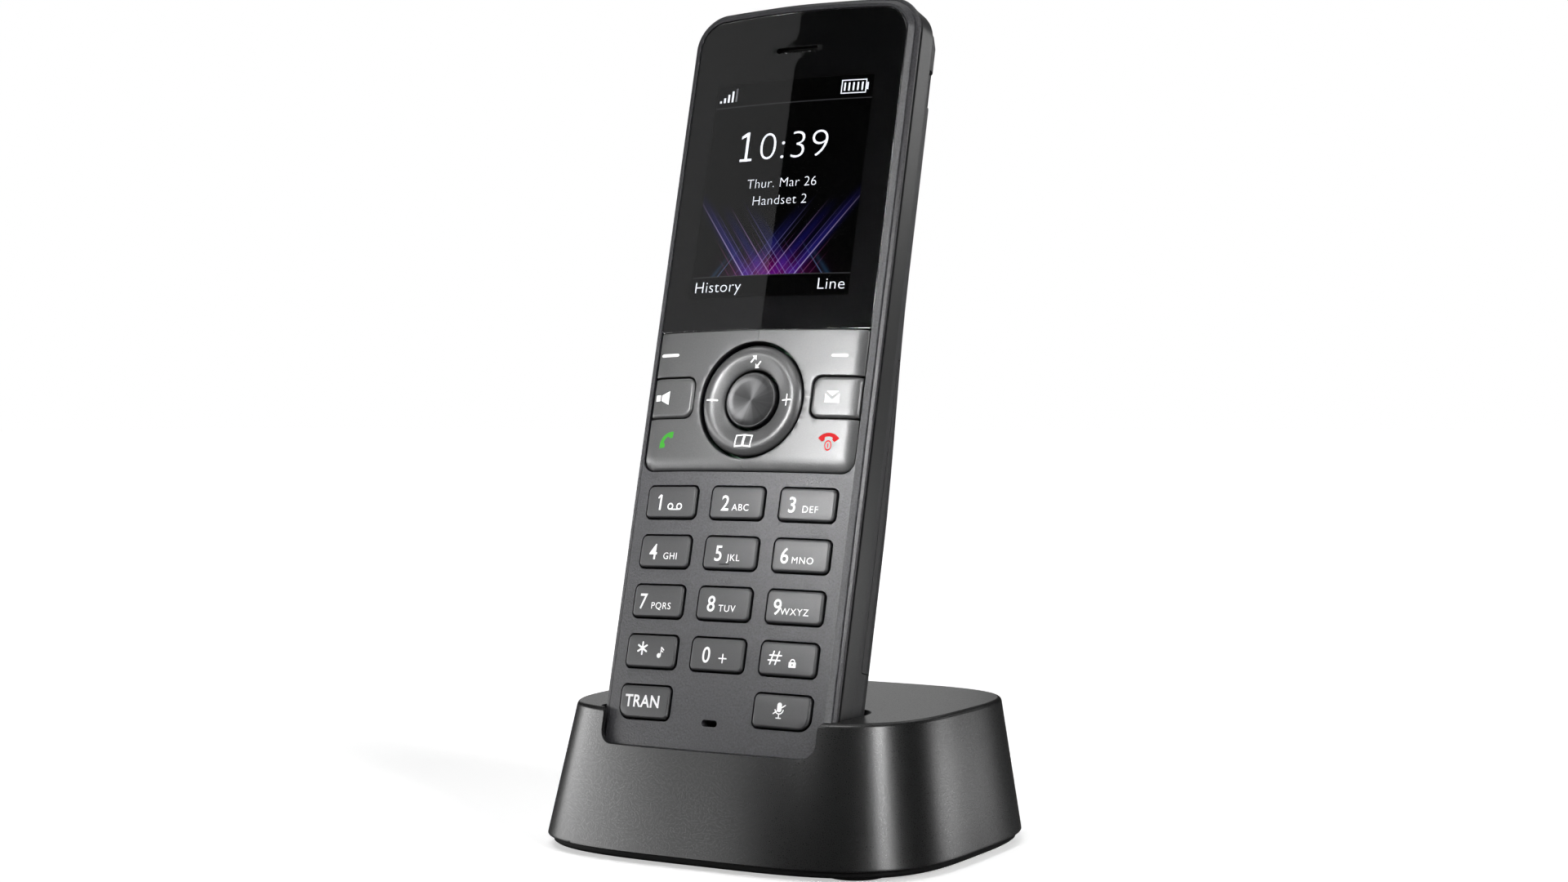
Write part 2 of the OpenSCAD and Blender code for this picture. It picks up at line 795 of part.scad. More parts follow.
// The cup inside the housing that guides the handset's sides, back and bottom end.
module cradle_well() {
    color([0.13, 0.13, 0.14]) difference() {
        intersection() {
            on_handset() well_space(well_wall, well_floor_y - 1.4, 0.5);
            translate([0, 0, -0.1]) cradle_well_limit();
        }
        on_handset() well_space(0, well_floor_y, 3);
        on_handset() translate([-block_w / 2 - 0.4, -140, pad_z - block_d / 2 - 0.4])
            cube([block_w + 0.8, 30, block_d + 0.8]);
    }
}

// The inside of the housing, with a little room.
module cradle_well_limit() {
    loft([cradle_ring(shell_z + 1.8, shell_wall + 0.1, 0.6),
        cradle_ring(cradle_h - 2, shell_wall + 0.1, 0.6)]);
}

module plate_prism(inset, z0, z1) {
    translate([0, 0, z0]) linear_extrude(z1 - z0)
        polygon([for (p = super_ring(low_half_w - inset, low_half_d - inset, 0, 0)) [p.x, p.y]]);
}

foot_r = 5;
foot_h = 1.18;
feet_places = [for (sx = [-1, 1], sy = [-1, 1]) [sx * 25.5, sy * 20.5]];

module cradle_base_plate() {
    color([0.06, 0.06, 0.06]) difference() {
        union() {
            plate_prism(0.9, plate_z, shell_z - 0.02);
            plate_prism(2.2, shell_z - 0.05, 3.2);
        }
        for (s = base_screws) {
            post(s.x, s.y, 1.3, 0, 5);
            post(s.x, s.y, 2.3, 0, 1.7);
        }
        for (f = feet_places) post(f.x, f.y, foot_r + 0.1, 0, foot_h + 0.02);
    }
}

module cradle_feet() {
    color([0.1, 0.1, 0.1]) for (f = feet_places) post(f.x, f.y, foot_r, 0, foot_h);
}

module cradle_screws() {
    color(steel) for (s = base_screws) difference() {
        union() {
            post(s.x, s.y, 2.1, 0.8, 1.68);
            post(s.x, s.y, 1.05, 1.6, 9);
        }
        cross_slot(s, 2.6, 0.5, 0.7, 1.2);
    }
}

module cradle_ballast() {
    color(steel) round_block([0, 13], [50, 22], 2, 3.25, 4.85);
}

module cradle_circuit_board() {
    color(board_green) translate([-20, 6, 4.9]) cube([40, 22.5, 1.1]);
}

module cradle_power_inlet() {
    color(steel) difference() {
        translate([-4, 24, 6.02]) cube([8, 6.8, 3]);
        translate([-3.5, 25, 6.52]) cube([7, 8, 2]);
    }
}

// The carrier of the two sprung contacts, below the handset's bottom end.
contact_w = 2.2;
block_w = 22;
block_h = 2.6;
block_d = 7;
module contact_block() {
    color([0.08, 0.08, 0.08]) on_handset() difference() {
        translate([-block_w / 2, well_floor_y - block_h, pad_z - block_d / 2])
            cube([block_w, block_h, block_d]);
        for (x = pad_x) translate([x - contact_w / 2 - 0.2, well_floor_y - 4, pad_z - contact_w / 2 - 0.2])
            cube([contact_w + 0.4, 6, contact_w + 0.4]);
    }
}

tip_r = 0.7;
module charge_contact(x) {
    color(gold) on_handset() {
        translate([x - contact_w / 2, -body_bottom - 3, pad_z - contact_w / 2])
            cube([contact_w, 2.4, contact_w]);
        translate([x - contact_w / 2, -body_bottom + 0.08 - tip_r, pad_z]) rotate([0, 90, 0])
            cylinder(r = tip_r, h = contact_w, $fn = 48);
    }
}
module charge_contact_left() { charge_contact(pad_x[0]); }
module charge_contact_right() { charge_contact(pad_x[1]); }

cradle_housing();
cradle_well();
cradle_base_plate();
cradle_feet();
cradle_screws();
cradle_ballast();
cradle_circuit_board();
cradle_power_inlet();
contact_block();
charge_contact_left();
charge_contact_right();
front_casing();
side_band();
rear_casing();
battery_door();
display_lens();
display_panel();
display_frame();
earpiece_mesh();
earpiece_speaker();
loudspeaker();
microphone();
microphone_boot();
main_circuit_board();
dome_sheet();
keypad_mat();
battery_pack();
battery_contacts();
charging_pads();
antenna();
headset_jack();
vibration_motor();
casing_screws();
nav_pivot_frame();
nav_ring();
select_key();
soft_key_left();
soft_key_right();
talk_key();
end_key();
speaker_key();
message_key();
key_1();
key_2();
key_3();
key_4();
key_5();
key_6();
key_7();
key_8();
key_9();
key_star();
key_0();
key_hash();
key_transfer();
key_mute();
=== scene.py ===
"""Looks for a cordless handset leaning in its charging cradle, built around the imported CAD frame."""

import json
import math

import bmesh
import bpy
import numpy as np
from mathutils import Matrix, Vector
from mathutils.geometry import delaunay_2d_cdt


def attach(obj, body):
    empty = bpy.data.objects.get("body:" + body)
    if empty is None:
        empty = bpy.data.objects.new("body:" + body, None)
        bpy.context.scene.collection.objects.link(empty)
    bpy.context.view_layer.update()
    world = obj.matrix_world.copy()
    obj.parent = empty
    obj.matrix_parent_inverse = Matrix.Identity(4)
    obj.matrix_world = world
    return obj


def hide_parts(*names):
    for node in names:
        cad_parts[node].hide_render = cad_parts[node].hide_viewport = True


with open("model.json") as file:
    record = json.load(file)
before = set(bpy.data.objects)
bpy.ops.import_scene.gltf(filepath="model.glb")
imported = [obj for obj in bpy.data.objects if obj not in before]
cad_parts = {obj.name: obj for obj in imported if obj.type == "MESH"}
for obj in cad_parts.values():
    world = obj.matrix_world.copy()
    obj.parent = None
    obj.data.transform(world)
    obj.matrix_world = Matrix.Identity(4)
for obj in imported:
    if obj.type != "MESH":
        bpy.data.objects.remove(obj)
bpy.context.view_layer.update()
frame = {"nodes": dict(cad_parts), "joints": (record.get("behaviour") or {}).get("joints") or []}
MM = 0.001


def linked(name, data):
    """A new object in the scene."""
    ob = bpy.data.objects.new(name, data)
    bpy.context.scene.collection.objects.link(ob)
    return ob


# ---- camera

CAMERA_AT = Vector((0.20939, -0.35528, 0.07728))
CAMERA_RIGHT = Vector((0.86215, 0.50664, -0.00391))
CAMERA_UP = Vector((-0.00630, 0.01844, 0.99981))


def make_camera():
    data = bpy.data.cameras.new("camera")
    data.lens, data.sensor_width = 53.44, 36.0
    data.shift_x, data.shift_y = -0.0017, 0.0057
    data.clip_start, data.clip_end = 0.01, 50.0
    camera = linked("camera", data)
    right = CAMERA_RIGHT.normalized()
    back = right.cross(CAMERA_UP).normalized()
    up = back.cross(right)
    turn = Matrix((right, up, back)).transposed()
    camera.matrix_world = Matrix.Translation(CAMERA_AT) @ turn.to_4x4()
    bpy.context.scene.camera = camera


make_camera()

# ---- the handset's own frame
# u is across the handset, v up along it and w out of its face, with the origin at the display's top edge

joints = {j["name"]: j for j in frame["joints"]}
V = Vector(joints["handset_lift"]["axis"]).normalized()
W = -Vector(joints["battery_door_off"]["axis"]).normalized()
U = V.cross(W)
PIVOT_V, PIVOT_W = -59.1, -3.3
ORIGIN = Vector(joints["nav_tilt_up_down"]["pos_m"]) - V * PIVOT_V * MM - W * PIVOT_W * MM
HANDSET = Matrix.Translation(ORIGIN) @ Matrix((U, V, W)).transposed().to_4x4()
WORLD = Matrix.Identity(4)

CROWN_R = 196.0
BODY_TOP, BODY_BOTTOM, BODY_CORNER = 15.0, 127.0, 6.2
BODY_HALF, BODY_TAPER, TOP_ARCH = 23.15, 0.001, 0.5
BAND_TOP, BAND_LOW = -3.22, -8.28
REAR_W = -8.4
RING_V, RING_R, SELECT_R = -59.1, 10.1, 4.95
SIDE_KEY_V, SIDE_KEY_IN, SIDE_KEY_HALF = -58.55, 12.0, 3.6
PANEL_HALF, PANEL_TOP, PANEL_LOW = 21.15, -46.58, -71.7
PITCH_U, PITCH_V, FIRST_ROW = 13.65, 8.77, -77.36
KEY_W, KEY_H, KEY_PROUD = 10.45, 5.6, 0.5
MIC_V, EARPIECE_V = -115.3, 5.6
DISPLAY_HALF, DISPLAY_LOW, LENS_LOW = 16.1, -40.3, -46.42


def crown(p, lift=0.0):
    """Height of the face at points p, lifted by lift."""
    return lift - p[:, 0] ** 2 / (2 * CROWN_R)


# ---- outlines, in mm

def arc(cx, cy, r, start, end, steps=8):
    a = np.radians(np.linspace(start, end, steps + 1))
    return np.column_stack([cx + r * np.cos(a), cy + r * np.sin(a)])


def rounded(cx, cy, w, h, r, steps=6, corners=None):
    """An anticlockwise rounded rectangle. corners may give its four radii, from the upper right on."""
    parts = []
    for k, (sx, sy) in enumerate(((1, 1), (-1, 1), (-1, -1), (1, -1))):
        q = corners[k] if corners else r
        x, y = cx + sx * (w / 2 - q), cy + sy * (h / 2 - q)
        parts.append(arc(x, y, q, 90 * k, 90 * k + 90, steps))
    return np.vstack(parts)


def circle(cx, cy, r, steps=64):
    return arc(cx, cy, r, 0, 360 - 360 / steps, steps - 1)


def signed_area(loop):
    x, y = loop[:, 0], loop[:, 1]
    return 0.5 * np.sum(x * np.roll(y, -1) - np.roll(x, -1) * y)


def dense(loop, step):
    """The loop with points added so that no edge is longer than step."""
    out = []
    for a, b in zip(loop, np.roll(loop, -1, 0)):
        n = max(1, int(math.ceil(np.linalg.norm(b - a) / step)))
        out += [a + (b - a) * k / n for k in range(n)]
    return np.array(out)


def offset(loop, d):
    """The loop moved inwards by d, outwards if d is below 0."""
    if signed_area(loop) < 0:
        d = -d
    e = np.roll(loop, -1, 0) - loop
    e = e / np.linalg.norm(e, axis=1)[:, None]
    n1 = np.column_stack([-e[:, 1], e[:, 0]])
    n0 = np.roll(n1, 1, 0)
    return loop + d * (n0 + n1) / np.maximum(0.35, 1 + np.sum(n0 * n1, axis=1))[:, None]


def distance(p, loop):
    """How far each point of p is from the loop."""
    best = np.full(len(p), 1e9)
    for a, b in zip(loop, np.roll(loop, -1, 0)):
        ab = b - a
        t = np.clip(((p - a) @ ab) / max(ab @ ab, 1e-12), 0, 1)
        best = np.minimum(best, np.linalg.norm(p - a - t[:, None] * ab, axis=1))
    return best


def inside(p, loop):
    """Whether each point of p is inside the loop."""
    odd = np.zeros(len(p), bool)
    for a, b in zip(loop, np.roll(loop, -1, 0)):
        if a[1] == b[1]:
            continue
        crosses = (a[1] > p[:, 1]) != (b[1] > p[:, 1])
        odd ^= crosses & (p[:, 0] < a[0] + (p[:, 1] - a[1]) * (b[0] - a[0]) / (b[1] - a[1]))
    return odd


def half_w(v):
    """Half the handset's width at height v."""
    return BODY_HALF - BODY_TAPER * (5 - v)


def body_outline(inset):
    """The handset's front outline drawn in by inset. It always has the same number of points."""
    r = BODY_CORNER - inset
    top, low = BODY_TOP - inset, -BODY_BOTTOM + inset
    wt, wl = half_w(0) - inset, half_w(-BODY_BOTTOM) - inset
    across = np.linspace(1, -1, 31)[1:-1] * (wt - r)
    edge = np.column_stack([across, np.full(29, top) + 0.3 * (1 - (across / (wt - r)) ** 2)])
    down = np.linspace(0, 1, 40)[1:-1]
    left = np.column_stack([-(wt + (wl - wt) * down), (top - r) + (low + r - top + r) * down])
    right = np.column_stack([-left[::-1, 0], left[::-1, 1]])
    base = np.column_stack([np.linspace(-1, 1, 20)[1:-1] * (wl - r), np.full(18, low)])
    p = np.vstack([arc(wt - r, top - r, r, 0, 90, 16), edge, arc(r - wt, top - r, r, 90, 180, 16), left,
                   arc(r - wl, low + r, r, 180, 270, 16), base, arc(wl - r, low + r, r, 270, 360, 16), right])
    p[:, 1] -= np.where(p[:, 1] > 0, TOP_ARCH * (p[:, 0] / wt) ** 2, 0)
    return p


def lens_outline(grow):
    """The lens outline grown by grow, but for its lower edge, which meets the silver panel."""
    half, r, top = 21.3 + grow, 4.7 + grow, 12.75 + grow
    across = np.linspace(1, -1, 25)[1:-1] * (half - r)
    edge = np.column_stack([across, np.full(23, top)])
    p = np.vstack([arc(half - r, top - r, r, 0, 90, 14), edge, arc(r - half, top - r, r, 90, 180, 14)])
    p[:, 1] -= 0.55 * (p[:, 0] / half) ** 2
    foot = LENS_LOW + 0.5 - grow
    return np.vstack([p, arc(0.5 - half, foot, 0.5, 180, 270, 4), arc(half - 0.5, foot, 0.5, 270, 360, 4)])


# ---- solids from outlines

def triangulate(loops, rings=(), extra=()):
    """Points and triangles inside loops[0] and outside the rest, and where each loop's points went."""
    points, edges, starts = [], [], []
    for loop in list(loops) + list(rings):
        n, k = len(loop), len(points)
        starts.append(k)
        points += [Vector(q) for q in loop]
        edges += [(k + i, k + (i + 1) % n) for i in range(n)]
    points += [Vector(q) for q in extra]
    co, _, tris, origin, _, _ = delaunay_2d_cdt(points, edges, [], 0, 1e-5)
    co = np.array([tuple(c) for c in co])
    tris = np.array([tuple(t) for t in tris])
    centre = co[tris].mean(1)
    keep = inside(centre, loops[0])
    for hole in loops[1:]:
        keep &= ~inside(centre, hole)
    index = {i: k for k, group in enumerate(origin) for i in group}
    where = [[index[s + i] for i in range(len(loop))] for s, loop in zip(starts, loops)]
    return co, tris[keep], where


SQUARE_EDGE = ((0, 0),)


def profile(d, steps):
    """The drop at distance d from an edge, read off (distance, drop) steps."""
    return np.interp(d, [s[0] for s in steps], [s[1] for s in steps])


def raised(loop, height):
    return np.column_stack([loop, np.broadcast_to(height, len(loop))])


def slab(outer, holes, top, low, rim=SQUARE_EDGE, hole_rim=None, grid=1.5, skirt=()):
    """A closed solid with a shaped top, rolled edges and straight walls. top gives heights for points, and
    low is a height or a function like top. skirt holds (loop, height) rings down the outer wall."""
    hole_rim = hole_rim or rim
    rings = [offset(outer, d) for d, _ in rim if d > 0]
    rings += [offset(h, -d) for h in holes for d, _ in hole_rim if d > 0]
    lo, hi = outer.min(0), outer.max(0)
    gx, gy = np.meshgrid(np.arange(lo[0] + grid / 2, hi[0], grid), np.arange(lo[1] + grid / 2, hi[1], grid))
    extra = np.column_stack([gx.ravel(), gy.ravel()])
    extra = extra[inside(extra, outer)]
    extra = extra[distance(extra, outer) > rim[-1][0] + 0.3 * grid]
    for h in holes:
        extra = extra[~inside(extra, h)]
        extra = extra[distance(extra, h) > hole_rim[-1][0] + 0.3 * grid]
    co, tris, where = triangulate([outer] + list(holes), rings, extra)
    drop = profile(distance(co, outer), rim)
    for h in holes:
        drop = np.maximum(drop, profile(distance(co, h), hole_rim))
    points = [raised(co, top(co) - drop)]
    faces = [tuple(t) for t in tris]
    count = len(co)
    chain = [where[0]]
    for loop, height in skirt:
        points.append(raised(loop, height))
        chain.append(list(range(count, count + len(loop))))
        count += len(loop)
    if callable(low):
        under, tris2, where2, height = co, tris, where, low(co)
    else:
        base = skirt[-1][0] if skirt else outer
        under, tris2, where2 = triangulate([base] + list(holes))
        height = low
    points.append(raised(under, height))
    faces += [tuple(int(i) + count for i in t[::-1]) for t in tris2]
    chain.append([i + count for i in where2[0]])
    for a, b in zip(chain, chain[1:]):
        faces += quads(a, b)
    for a, b in zip(where[1:], where2[1:]):
        faces += quads(a, [i + count for i in b])
    return np.vstack(points), faces


def quads(a, b):
    n = len(a)
    return [(a[i], b[i], b[(i + 1) % n], a[(i + 1) % n]) for i in range(n)]


def skin(rings, looped=False):
    """A solid over rings of as many 3-D points each. It has caps, or its two ends are joined."""
    n, faces = len(rings[0]), []
    rows = [list(range(k * n, k * n + n)) for k in range(len(rings))]
    pairs = list(zip(rows, rows[1:])) + ([(rows[-1], rows[0])] if looped else [])
    for a, b in pairs:
        faces += quads(a, b)
    if not looped:
        faces += [tuple(rows[0]), tuple(rows[-1][::-1])]
    return np.vstack(rings), faces


def lathe(section, looped):
    """An (r, w) section turned about the navigation ring's axis."""
    return skin([raised(circle(0, RING_V, r, 128), w) for r, w in section], looped)


def extruded(loop, axis, start, end):
    """A solid that carries the loop along one axis."""
    return skin([np.insert(loop, axis, at, axis=1) for at in (start, end)])


# ---- objects

def build(name, shape, matrix=HANDSET):
    """An object with the points, in mm, and faces of a shape."""
    points, faces = shape
    mesh = bpy.data.meshes.new(name)
    points = [tuple(p) for p in np.asarray(points, float) * MM]
    mesh.from_pydata(points, [], [tuple(map(int, f)) for f in faces])
    ob = linked(name, mesh)
    ob.matrix_world = matrix
    tidy(mesh)
    return ob


def tidy(mesh, merge=2e-7):
    """Merge points closer than merge, and turn every face outwards."""
    bm = bmesh.new()
    bm.from_mesh(mesh)
    bmesh.ops.remove_doubles(bm, verts=bm.verts, dist=merge)
    bmesh.ops.dissolve_degenerate(bm, edges=bm.edges, dist=merge)
    loose = [v for v in bm.verts if not v.link_faces]
    bmesh.ops.delete(bm, geom=loose, context="VERTS")
    bmesh.ops.recalc_face_normals(bm, faces=bm.faces)
    bm.to_mesh(mesh)
    bm.free()


def smooth(mesh, angle):
    """Smooth shading, with edges sharper than angle kept crisp."""
    mesh.polygons.foreach_set("use_smooth", np.ones(len(mesh.polygons), bool))
    mesh.set_sharp_from_angle(angle=math.radians(angle))


def shade(ob, angle, weighted=True):
    smooth(ob.data, angle)
    if weighted:
        mod = ob.modifiers.new("normals", "WEIGHTED_NORMAL")
        mod.keep_sharp = True
        mod.weight = 60
    return ob


def evaluated(ob):
    """A new mesh with what the object's modifiers or curves make."""
    bpy.context.view_layer.update()
    return bpy.data.meshes.new_from_object(ob.evaluated_get(bpy.context.evaluated_depsgraph_get()))


def bake(ob):
    """Apply the object's modifiers."""
    mesh, old = evaluated(ob), ob.data
    ob.modifiers.clear()
    ob.data = mesh
    bpy.data.meshes.remove(old)


def discard(ob):
    mesh = ob.data
    bpy.data.objects.remove(ob)
    bpy.data.meshes.remove(mesh)


def carve(ob, cutters):
    """Cut the cutters out of the object."""
    for cutter in cutters:
        mod = ob.modifiers.new("cut", "BOOLEAN")
        mod.object, mod.operation, mod.solver = cutter, "DIFFERENCE", "EXACT"
        bake(ob)
        discard(cutter)


def bevel(ob, width, angle):
    mod = ob.modifiers.new("bevel", "BEVEL")
    mod.width, mod.segments, mod.limit_method = width * MM, 3, "ANGLE"
    mod.angle_limit = math.radians(angle)
    bake(ob)


def paint(ob, material):
    ob.data.materials.clear()
    ob.data.materials.append(material)


def place(ob, body, material, replaces=()):
    """Paint the object and let it ride on a body, in place of the nodes it replaces."""
    paint(ob, material)
    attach(ob, body)
    if replaces:
        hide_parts(*replaces)


def piece(name, shape, angle, body, material, replaces=(), matrix=HANDSET):
    place(shade(build(name, shape, matrix), angle), body, material, replaces)


# ---- materials

class Graph:
    """A small wrapper for building shader nodes."""

    def __init__(self, name):
        self.material = bpy.data.materials.new(name)
        self.material.use_nodes = True
        self.tree = self.material.node_tree
        self.shader = self.tree.nodes["Principled BSDF"]
        self.place = self.tree.nodes.new("ShaderNodeTexCoord").outputs["Object"]

    def node(self, kind, inputs=None, **settings):
        made = self.tree.nodes.new(kind)
        for key, value in settings.items():
            setattr(made, key, value)
        for key, value in (inputs or {}).items():
            self.put(made, key, value)
        return made

    def put(self, node, key, value):
        socket = node.inputs[key]
        if isinstance(value, bpy.types.NodeSocket):
            self.tree.links.new(value, socket)
        else:
            socket.default_value = value

    def math(self, operation, *values):
        made = self.node("ShaderNodeMath", operation=operation)
        for k, value in enumerate(values):
            self.put(made, k, value)
        return made.outputs[0]

    def vector(self, operation, a, b):
        second = 3 if operation == "SCALE" else 1
        return self.node("ShaderNodeVectorMath", {0: a, second: b}, operation=operation).outputs[0]

    def mix(self, factor, a, b, blend="MIX"):
        made = self.node("ShaderNodeMix", {6: a, 7: b}, data_type="RGBA", blend_type=blend)
        self.put(made, "Factor", factor)
        return made.outputs[2]

    def split(self, vector=None):
        return self.node("ShaderNodeSeparateXYZ", {0: vector or self.place}).outputs

    def noise(self, scale, detail=2.0, rough=0.5, where=None):
        made = self.node("ShaderNodeTexNoise", {"Scale": scale, "Detail": detail, "Roughness": rough,
                                                "Vector": where or self.place})
        return made.outputs["Fac"]

    def ramp(self, value, stops):
        made = self.node("ShaderNodeValToRGB", {"Fac": value})
        ramp = made.color_ramp
        for k, (at, colour) in enumerate(stops):
            stop = ramp.elements[k] if k < 2 else ramp.elements.new(at)
            stop.position, stop.color = at, (*colour, 1)
        return made.outputs["Color"]

    def shades(self, value, colour, low):
        return self.ramp(value, [(0.3, np.array(colour) * low), (0.7, colour)])

    def spread(self, value, low, high, start=0.0, end=1.0):
        made = self.node("ShaderNodeMapRange", {"Value": value, "From Min": start, "From Max": end,
                                                "To Min": low, "To Max": high})
        return made.outputs[0]

    def bump(self, height, strength, depth, normal=None):
        made = self.node("ShaderNodeBump", {"Strength": strength, "Distance": depth, "Height": height})
        if normal:
            self.put(made, "Normal", normal)
        return made.outputs["Normal"]

    def set(self, **values):
        for key, value in values.items():
            self.put(self.shader, key.replace("_", " "), value)


def moulded(name, colour, rough=0.45, grain=5200, strength=0.25, depth=0.00004, vary=0.12, mottle=0.05,
            metallic=0.0, specular=0.5, tint=(1.0, 1.0, 1.0), painted_shade_heights=None):
    """Moulded or painted plastic: fine grain in colour, roughness and height over a soft large mottle.
    The last argument gives two heights in mm over the crowned face, between which the colour fades in from
    black: painted shade on the walls, gaps and rolled edges that sink below the face."""
    g = Graph(name)
    fine = g.noise(grain, 3.0, 0.6)
    broad = g.noise(90, 2.0, 0.5)
    c = np.array(colour)
    dark, light = c * (1 - vary), c * (1 + vary) * np.array(tint)
    body = g.ramp(fine, [(0.30, dark), (0.72, light)])
    shift = g.shades(broad, (1, 1, 1), 1 - mottle)
    final = g.mix(1.0, body, shift, "MULTIPLY")
    # painted shade: the colour goes almost black where the surface sinks below the given heights
    if painted_shade_heights:
        x, _, z = g.split()
        lift = g.math("MULTIPLY_ADD", g.math("MULTIPLY", x, x), 1000 / (2 * CROWN_R), z)
        painted_shade_fade = g.ramp(g.spread(lift, 0.0, 1.0, painted_shade_heights[0] * MM, painted_shade_heights[1] * MM),
                       [(0.0, (0.05,) * 3), (1.0, (1, 1, 1))])
        final = g.mix(1.0, final, painted_shade_fade, "MULTIPLY")
    g.set(Base_Color=final, Roughness=g.spread(fine, rough - 0.06, rough + 0.08, 0.3, 0.7),
          Metallic=metallic, Specular_IOR_Level=specular,
          Normal=g.bump(fine, strength, depth, g.bump(broad, 0.06, 0.0003)))
    return g.material


def metal(name, colour, rough=0.3):
    """Plain plated or rolled metal with fine marks."""
    g = Graph(name)
    fine = g.noise(900, 4.0, 0.6)
    broad = g.noise(160, 2.0)
    g.set(Base_Color=g.shades(broad, colour, 0.86), Metallic=1.0,
          Roughness=g.spread(fine, rough - 0.08, rough + 0.12), Normal=g.bump(fine, 0.15, 0.00002))
    return g.material


def ink(name, colour, glow=0.0):
    """Printed legend ink, slightly uneven. glow makes it give light: the screen's own light for the screen's
    inks, and painted glow for the key and panel legends.
    """
    g = Graph(name)
    fine = g.noise(7000, 2.0)
    g.set(Base_Color=g.shades(fine, colour, 0.94), Roughness=g.spread(fine, 0.4, 0.55),
          Specular_IOR_Level=0.08, Normal=g.bump(fine, 0.08, 0.00001))
    if glow:
        g.set(Emission_Color=(*colour, 1), Emission_Strength=glow)
    return g.material


def spun(name, colour):
    """Spun metal: fine circular marks round the ring's centre, and painted reflection: soft bright and dark
    sectors and a fixed bright and dark bow across the key.
    """
    g = Graph(name)
    x, y, _ = g.split(g.vector("ADD", g.place, (0.0, -RING_V * MM, 0.0)))
    radius = g.math("SQRT", g.math("ADD", g.math("MULTIPLY", x, x), g.math("MULTIPLY", y, y)))
    angle = g.math("ARCTAN2", y, x)
    fan = g.node("ShaderNodeCombineXYZ", {0: g.math("COSINE", angle), 1: g.math("SINE", angle)})
    turned = g.node("ShaderNodeCombineXYZ", {0: g.math("MULTIPLY", radius, 9000.0),
                                             1: g.math("MULTIPLY", angle, 1.5)})
    rings = g.noise(1.0, 4.0, 0.7, turned.outputs[0])
    # painted reflection: the bright and dark sectors and the fixed bow stand in for light caught by the
    # circular marks
    sectors = g.noise(2.2, 5.0, 0.62, fan.outputs[0])
    painted_sheen = g.math("MULTIPLY_ADD", g.math("COSINE", g.math("MULTIPLY_ADD", angle, 2.0, -1.4)), 0.5, 0.5)
    c = np.array(colour)
    base = g.ramp(sectors, [(0.32, c * 0.62), (0.5, c), (0.68, c * 1.5)])
    lit = g.ramp(painted_sheen, [(0.0, (0.72,) * 3), (1.0, (1.25,) * 3)])
    g.set(Base_Color=g.mix(1.0, base, lit, "MULTIPLY"), Metallic=0.6, Anisotropic=0.7,
          Roughness=g.spread(rings, 0.26, 0.46), Normal=g.bump(rings, 0.12, 0.00001))
    return g.material


def glass(name):
    """The clear hard window over the printed mask."""
    g = Graph(name)
    fine = g.noise(60, 2.0)
    g.set(Base_Color=g.ramp(fine, [(0.3, (0.97, 0.98, 1)), (0.7, (1, 1, 1))]),
          Roughness=g.spread(fine, 0.008, 0.016), Transmission_Weight=1.0, IOR=1.46,
          Normal=g.bump(fine, 0.02, 0.0002))
    return g.material


def picture(name):
    """The lit screen: a dark ground with crossing beams of light low down and a bar above and below."""
    g = Graph(name)
    u, v = (g.math("MULTIPLY", part, 1000.0) for part in g.split()[:2])
    height = g.math("SUBTRACT", v, BEAM_FLOOR)
    sine, cosine = math.sin(math.radians(BEAM_ANGLE)), math.cos(math.radians(BEAM_ANGLE))
    total = (0.0, 0.0, 0.0)
    for side in (-1, 1):
        for at, half, power, tint, reach in BEAMS:
            # each beam falls towards the middle of the picture's lower edge
            off = g.math("MULTIPLY_ADD", v, cosine, -(at * sine + BEAM_FLOOR * cosine))
            off = g.math("MULTIPLY_ADD", u, side * sine, off)
            core = g.math("EXPONENT", g.math("MULTIPLY", g.math("MULTIPLY", off, off), -1.0 / half ** 2))
            ends = {"Value": height, "From Max": reach, "To Min": 1.0, "To Max": 0.0}
            fade = g.node("ShaderNodeMapRange", ends, interpolation_type="SMOOTHSTEP")
            value = g.math("MULTIPLY", g.math("MULTIPLY", core, fade.outputs[0]), power)
            total = g.vector("ADD", total, g.vector("SCALE", tint, value))
    # a magenta glow low in the middle
    wide = g.math("MULTIPLY", g.math("MULTIPLY", u, u), 0.03)
    tall = g.math("MULTIPLY", g.math("POWER", height, 2.0), 0.12)
    low = g.math("EXPONENT", g.math("MULTIPLY", g.math("ADD", wide, tall), -1.0))
    total = g.vector("ADD", total, g.vector("SCALE", (0.09, 0.0, 0.075), low))
    # nothing is lit on the bar of soft-key labels
    total = g.vector("SCALE", total, g.math("GREATER_THAN", v, BEAM_FLOOR))
    # thin rules under the status bar and over the label bar
    for at in RULES:
        line = g.math("LESS_THAN", g.math("ABSOLUTE", g.math("SUBTRACT", v, at)), 0.1)
        total = g.vector("ADD", total, g.vector("SCALE", (0.028, 0.028, 0.03), line))
    fine = g.noise(4000, 2.0)
    g.set(Base_Color=g.ramp(fine, [(0.3, (0.0015,) * 3), (0.7, (0.003,) * 3)]), Emission_Color=total,
          Roughness=g.spread(fine, 0.5, 0.6), Emission_Strength=1.0, Specular_IOR_Level=0.0)
    return g.material


BEAM_ANGLE, BEAM_FLOOR = 52.0, -36.3
RULES = (-4.35, -36.35)
